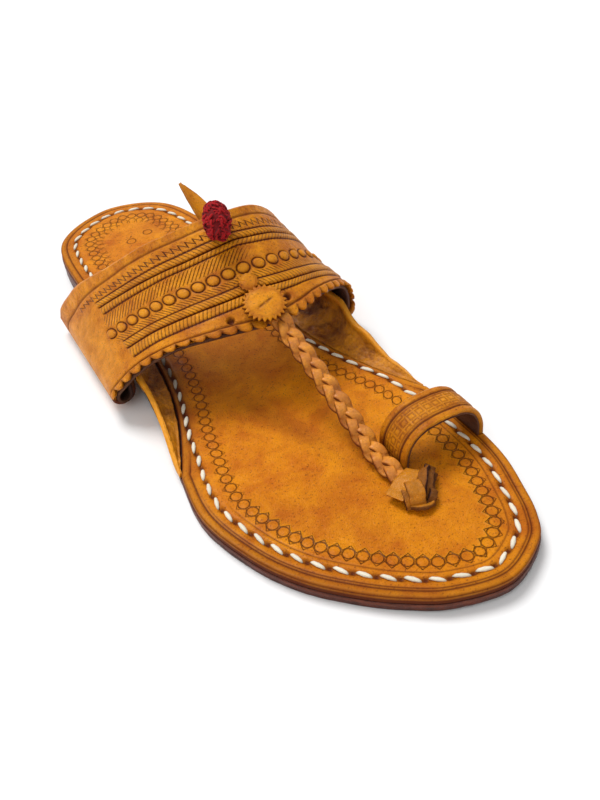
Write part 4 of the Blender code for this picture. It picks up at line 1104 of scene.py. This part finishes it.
def makeLeaf():
    side, up = lineFrame(leafRoute)

    def shape(u, v):
        width = np.interp(u, *leaf["widths"]) * mm
        off = (v - 0.5) * width
        cup = leaf["cup"] * (2 * (v - 0.5)) ** 2 * np.sin(np.pi * u)
        ripple = leaf["ripple"] * np.sin(9 * u + 3 * v)
        spot = (readTable(leafRoute, u) + readTable(side, u) * off[:, None]
                + readTable(up, u) * (cup + ripple)[:, None])
        rim = ease((np.abs(v - 0.5) - 0.42) / 0.08)
        # the base is darker as painted shade under the pompom
        return spot, np.stack([0.25 * rim + 0.25 * (u < 0.3), 0.35 + 0 * u, 0 * u], 1)
    layPiece("leaf_leather", bandLeather, 60, 12, shape, ["leaf"], wall=leaf["wall"], closed=False,
             angle=60.0, offset=0.0)


knot = {"shift": (-2.3, -88.5, 0.0), "squareness": 0.35, "crumple": (2.2, 0.34), "wrinkle": (0.9, 0.12),
        "seed": 5}
# the folds of a thin lace tied over itself: a broad flat one over the plait's end, a loop with its lip in
# front, and crumpled tails on the inner side in painted shade; width, height, marks, up and route in
# millimetres, where the marks paint the broad fold and the loop lighter as painted light
knotFolds = [
    (6.2, 1.3, (-0.30, 0.60, 0.0), (-0.15, 0.1, 1.0),
     ((-5.4, -95.2, 7.9), (-2.6, -94.2, 9.3), (1.6, -92.8, 10.2), (5.4, -91.4, 9.4), (7.4, -90.6, 7.2))),
    (5.0, 1.6, (-0.10, 0.40, 0.0), (0.0, 0.0, 1.0),
     ((1.8, -93.8, 9.0), (1.0, -96.2, 11.0), (0.1, -98.6, 10.6), (-0.7, -100.4, 8.6), (-1.0, -101.0, 6.4))),
    (2.8, 1.5, (0.15, 0.15, 0.0), (0.0, 0.0, 1.0),
     ((-0.6, -94.6, 8.6), (-1.9, -96.6, 9.6), (-2.8, -98.8, 8.6), (-3.2, -100.2, 6.4))),
    (3.2, 1.5, (-0.10, 0.60, 0.0), (0.2, 0.5, 1.0),
     ((-2.6, -99.4, 6.5), (-1.2, -101.6, 7.3), (0.9, -102.7, 7.3), (3.0, -101.9, 6.5))),
    (3.4, 1.2, (0.65, 0.20, 0.0), (0.5, -0.2, 1.0),
     ((2.2, -100.9, 7.2), (4.6, -98.6, 9.6), (7.6, -95.6, 10.2), (11.0, -92.2, 8.6))),
    (3.2, 1.2, (0.45, 0.20, 0.0), (-0.5, 0.3, 1.0),
     ((1.6, -99.4, 8.4), (3.8, -97.2, 10.9), (6.4, -94.6, 11.2), (9.4, -92.2, 9.0))),
    (2.6, 1.3, (0.65, 0.20, 0.0), (0.3, -0.5, 1.0),
     ((1.8, -102.2, 6.6), (3.8, -101.8, 8.2), (5.2, -100.0, 8.6), (4.6, -98.2, 7.2))),
    (2.4, 1.2, (0.70, 0.10, 0.0), (0.6, 0.2, 1.0),
     ((4.2, -100.2, 6.8), (6.4, -98.0, 8.0), (9.0, -95.6, 8.0), (11.4, -93.8, 6.8)))]


def makeKnot():
    noise.seed_set(knot["seed"])      # without it noise_vector changes from run to run
    mesh = bmesh.new()
    for width, height, marks, up, route in knotFolds:
        line = smoothLine((np.array(route) + np.array(knot["shift"])) * mm, 48)
        strip(mesh, line, up, width * mm, height * mm, knot["squareness"], 20, marks)
    for vert in mesh.verts:
        for size, depth in (knot["crumple"], knot["wrinkle"]):
            vert.co += noise.noise_vector(vert.co / (size * mm)) * depth * mm
    finishPiece("knot_lace", mesh, knotLeather, ["knot"], angle=55.0)


wool = {"foot": (-0.036, 0.4738, 0.974), "top": (0.017, 0.4281, 1.107), "locks": 230, "core": (4.1, 0.46),
        "roots": (3.8, 0.45), "taper": 0.24, "lock": (0.7, 1.25), "seed": 11}


def woolSpot(out, shape, length):
    # a place on the egg-shaped bunch, wider at its foot, in its own directions
    wide, tall = shape
    return Vector((out.x * wide * mm, out.y * wide * mm, out.z * tall * length))


def makePompom():
    # a core with many short curled locks of wool
    random.seed(wool["seed"])
    foot, top = Vector(place(*wool["foot"])), Vector(place(*wool["top"]))
    axis = top - foot
    centre = 0.5 * (foot + top)
    turned = axis.to_track_quat("Z", "Y")
    count = wool["locks"]
    mesh = bmesh.new()
    markLayer = mesh.verts.layers.float_color.new("toolMarksAndPaintedLight")
    core = bmesh.ops.create_icosphere(mesh, subdivisions=4, radius=1.0)["verts"]
    for vert in core:
        bulge = 1.0 + 0.16 * noise.noise(vert.co * 2.4) + 0.08 * noise.noise(vert.co * 6.0)
        local = woolSpot(vert.co, wool["core"], axis.length) * bulge
        local *= 1.0 - wool["taper"] * vert.co.z
        vert.co = centre + turned @ local
        # the core is darkened as painted shade between the locks
        vert[markLayer] = (0.6, 0, 0, 1)
    for k in range(count):
        polar = math.acos(1 - 2 * (k + 0.5) / count)
        around = k * 2.399963                     # the golden angle spreads the locks evenly
        out = Vector((math.sin(polar) * math.cos(around), math.sin(polar) * math.sin(around), math.cos(polar)))
        start = woolSpot(out, wool["roots"], axis.length) * (1.0 - wool["taper"] * out.z)
        swing = Vector((random.uniform(-1, 1), random.uniform(-1, 1), random.uniform(-1, 1)))
        tangent = out.cross(swing).normalized()
        size = random.uniform(*wool["lock"]) * mm
        points = [start + out * (0.55 * mm * math.sin(t * 2.6)) + tangent * (t * 1.5 * size)
                  + out.cross(tangent) * (0.6 * size * math.sin(t * 3.2)) for t in (0, 0.35, 0.7, 1.05, 1.4)]
        dark = random.choice((0.0, 0.1, 0.25, 0.5))
        line = smoothLine([tuple(centre + turned @ p) for p in points], 9)
        strip(mesh, line, tuple(turned @ out), size * 0.85, size * 0.75, 1.0, 6, (dark - 0.25, 0, 0))
    for vert in mesh.verts:
        vert[markLayer] = (min(1.0, max(0.0, vert[markLayer][0])), 0, 0, 1)
    finishPiece("pompom_wool", mesh, pompomWool, ["pompom"], angle=80.0, slot="red_wool")


# Studio
studio = {
    "floor": "#fbfbfb", "lens": 39.6, "sky": 0.38, "camera": (-0.1198, -0.3205, 0.2012),
    "right": (0.8176, -0.5712, -0.0733), "up": (0.4208, 0.5057, 0.7531), "back": (-0.3931, -0.6465, 0.6538),
    "lights": {"key": {"from": (0.0, 0.5, 0.87), "width": 28.0, "power": 2.1},
               "fill": {"from": (-0.6, -0.35, 0.8), "width": 60.0, "power": 0.8}}}


def makeCamera():
    data = bpy.data.cameras.new("camera")
    data.lens = studio["lens"]
    data.sensor_width = 36.0
    data.clip_start = 0.01
    camera = bpy.data.objects.new("camera", data)
    bpy.context.scene.collection.objects.link(camera)
    turn = Matrix((studio["right"], studio["up"], studio["back"])).transposed()
    camera.matrix_world = Matrix.Translation(studio["camera"]) @ turn.to_4x4()
    bpy.context.scene.camera = camera


def makeStudio():
    # a pale sweep under broad soft lights
    paper = newMaterial("floor_matt_paper", {"Base Color": fromHex(studio["floor"]), "Roughness": 0.9})[0]
    mesh = bmesh.new()
    bmesh.ops.create_grid(mesh, x_segments=1, y_segments=1, size=60.0)
    data = bpy.data.meshes.new("floor")
    mesh.to_mesh(data)
    mesh.free()
    data.materials.append(paper)
    floor = bpy.data.objects.new("floor", data)
    bpy.context.scene.collection.objects.link(floor)
    world = bpy.data.worlds.new("studio")
    bpy.context.scene.world = world
    world.use_nodes = True
    world.node_tree.nodes["Background"].inputs[0].default_value = (1, 1, 1, 1)
    world.node_tree.nodes["Background"].inputs[1].default_value = studio["sky"]
    # big soft boxes, so far off that the paper stays evenly white: suns with a wide disc
    for name, look in studio["lights"].items():
        light = bpy.data.lights.new(name, "SUN")
        light.energy = look["power"]
        light.angle = math.radians(look["width"])
        lamp = bpy.data.objects.new(name, light)
        lamp.rotation_mode = "QUATERNION"
        lamp.rotation_quaternion = Vector(look["from"]).to_track_quat("Z", "Y")
        bpy.context.scene.collection.objects.link(lamp)
    bpy.context.scene.view_settings.view_transform = "Standard"


makeCamera()
makeStudio()
makeFootbed()
makeLayer("outsole_leather", "outsole", 1.0, floorLift, outsoleTop, 0.0)
makeLayer("heel_leather", "heel_lift", sole["liftEnd"], lambda along: 0 * along,
          lambda along: 0 * along + sole["lift"], 0.2 * mm)
makeStitches()
makeBand()
makePlait()
makeEars()
makeToeRing()
makeRosette()
makeLeaf()
makeKnot()
makePompom()
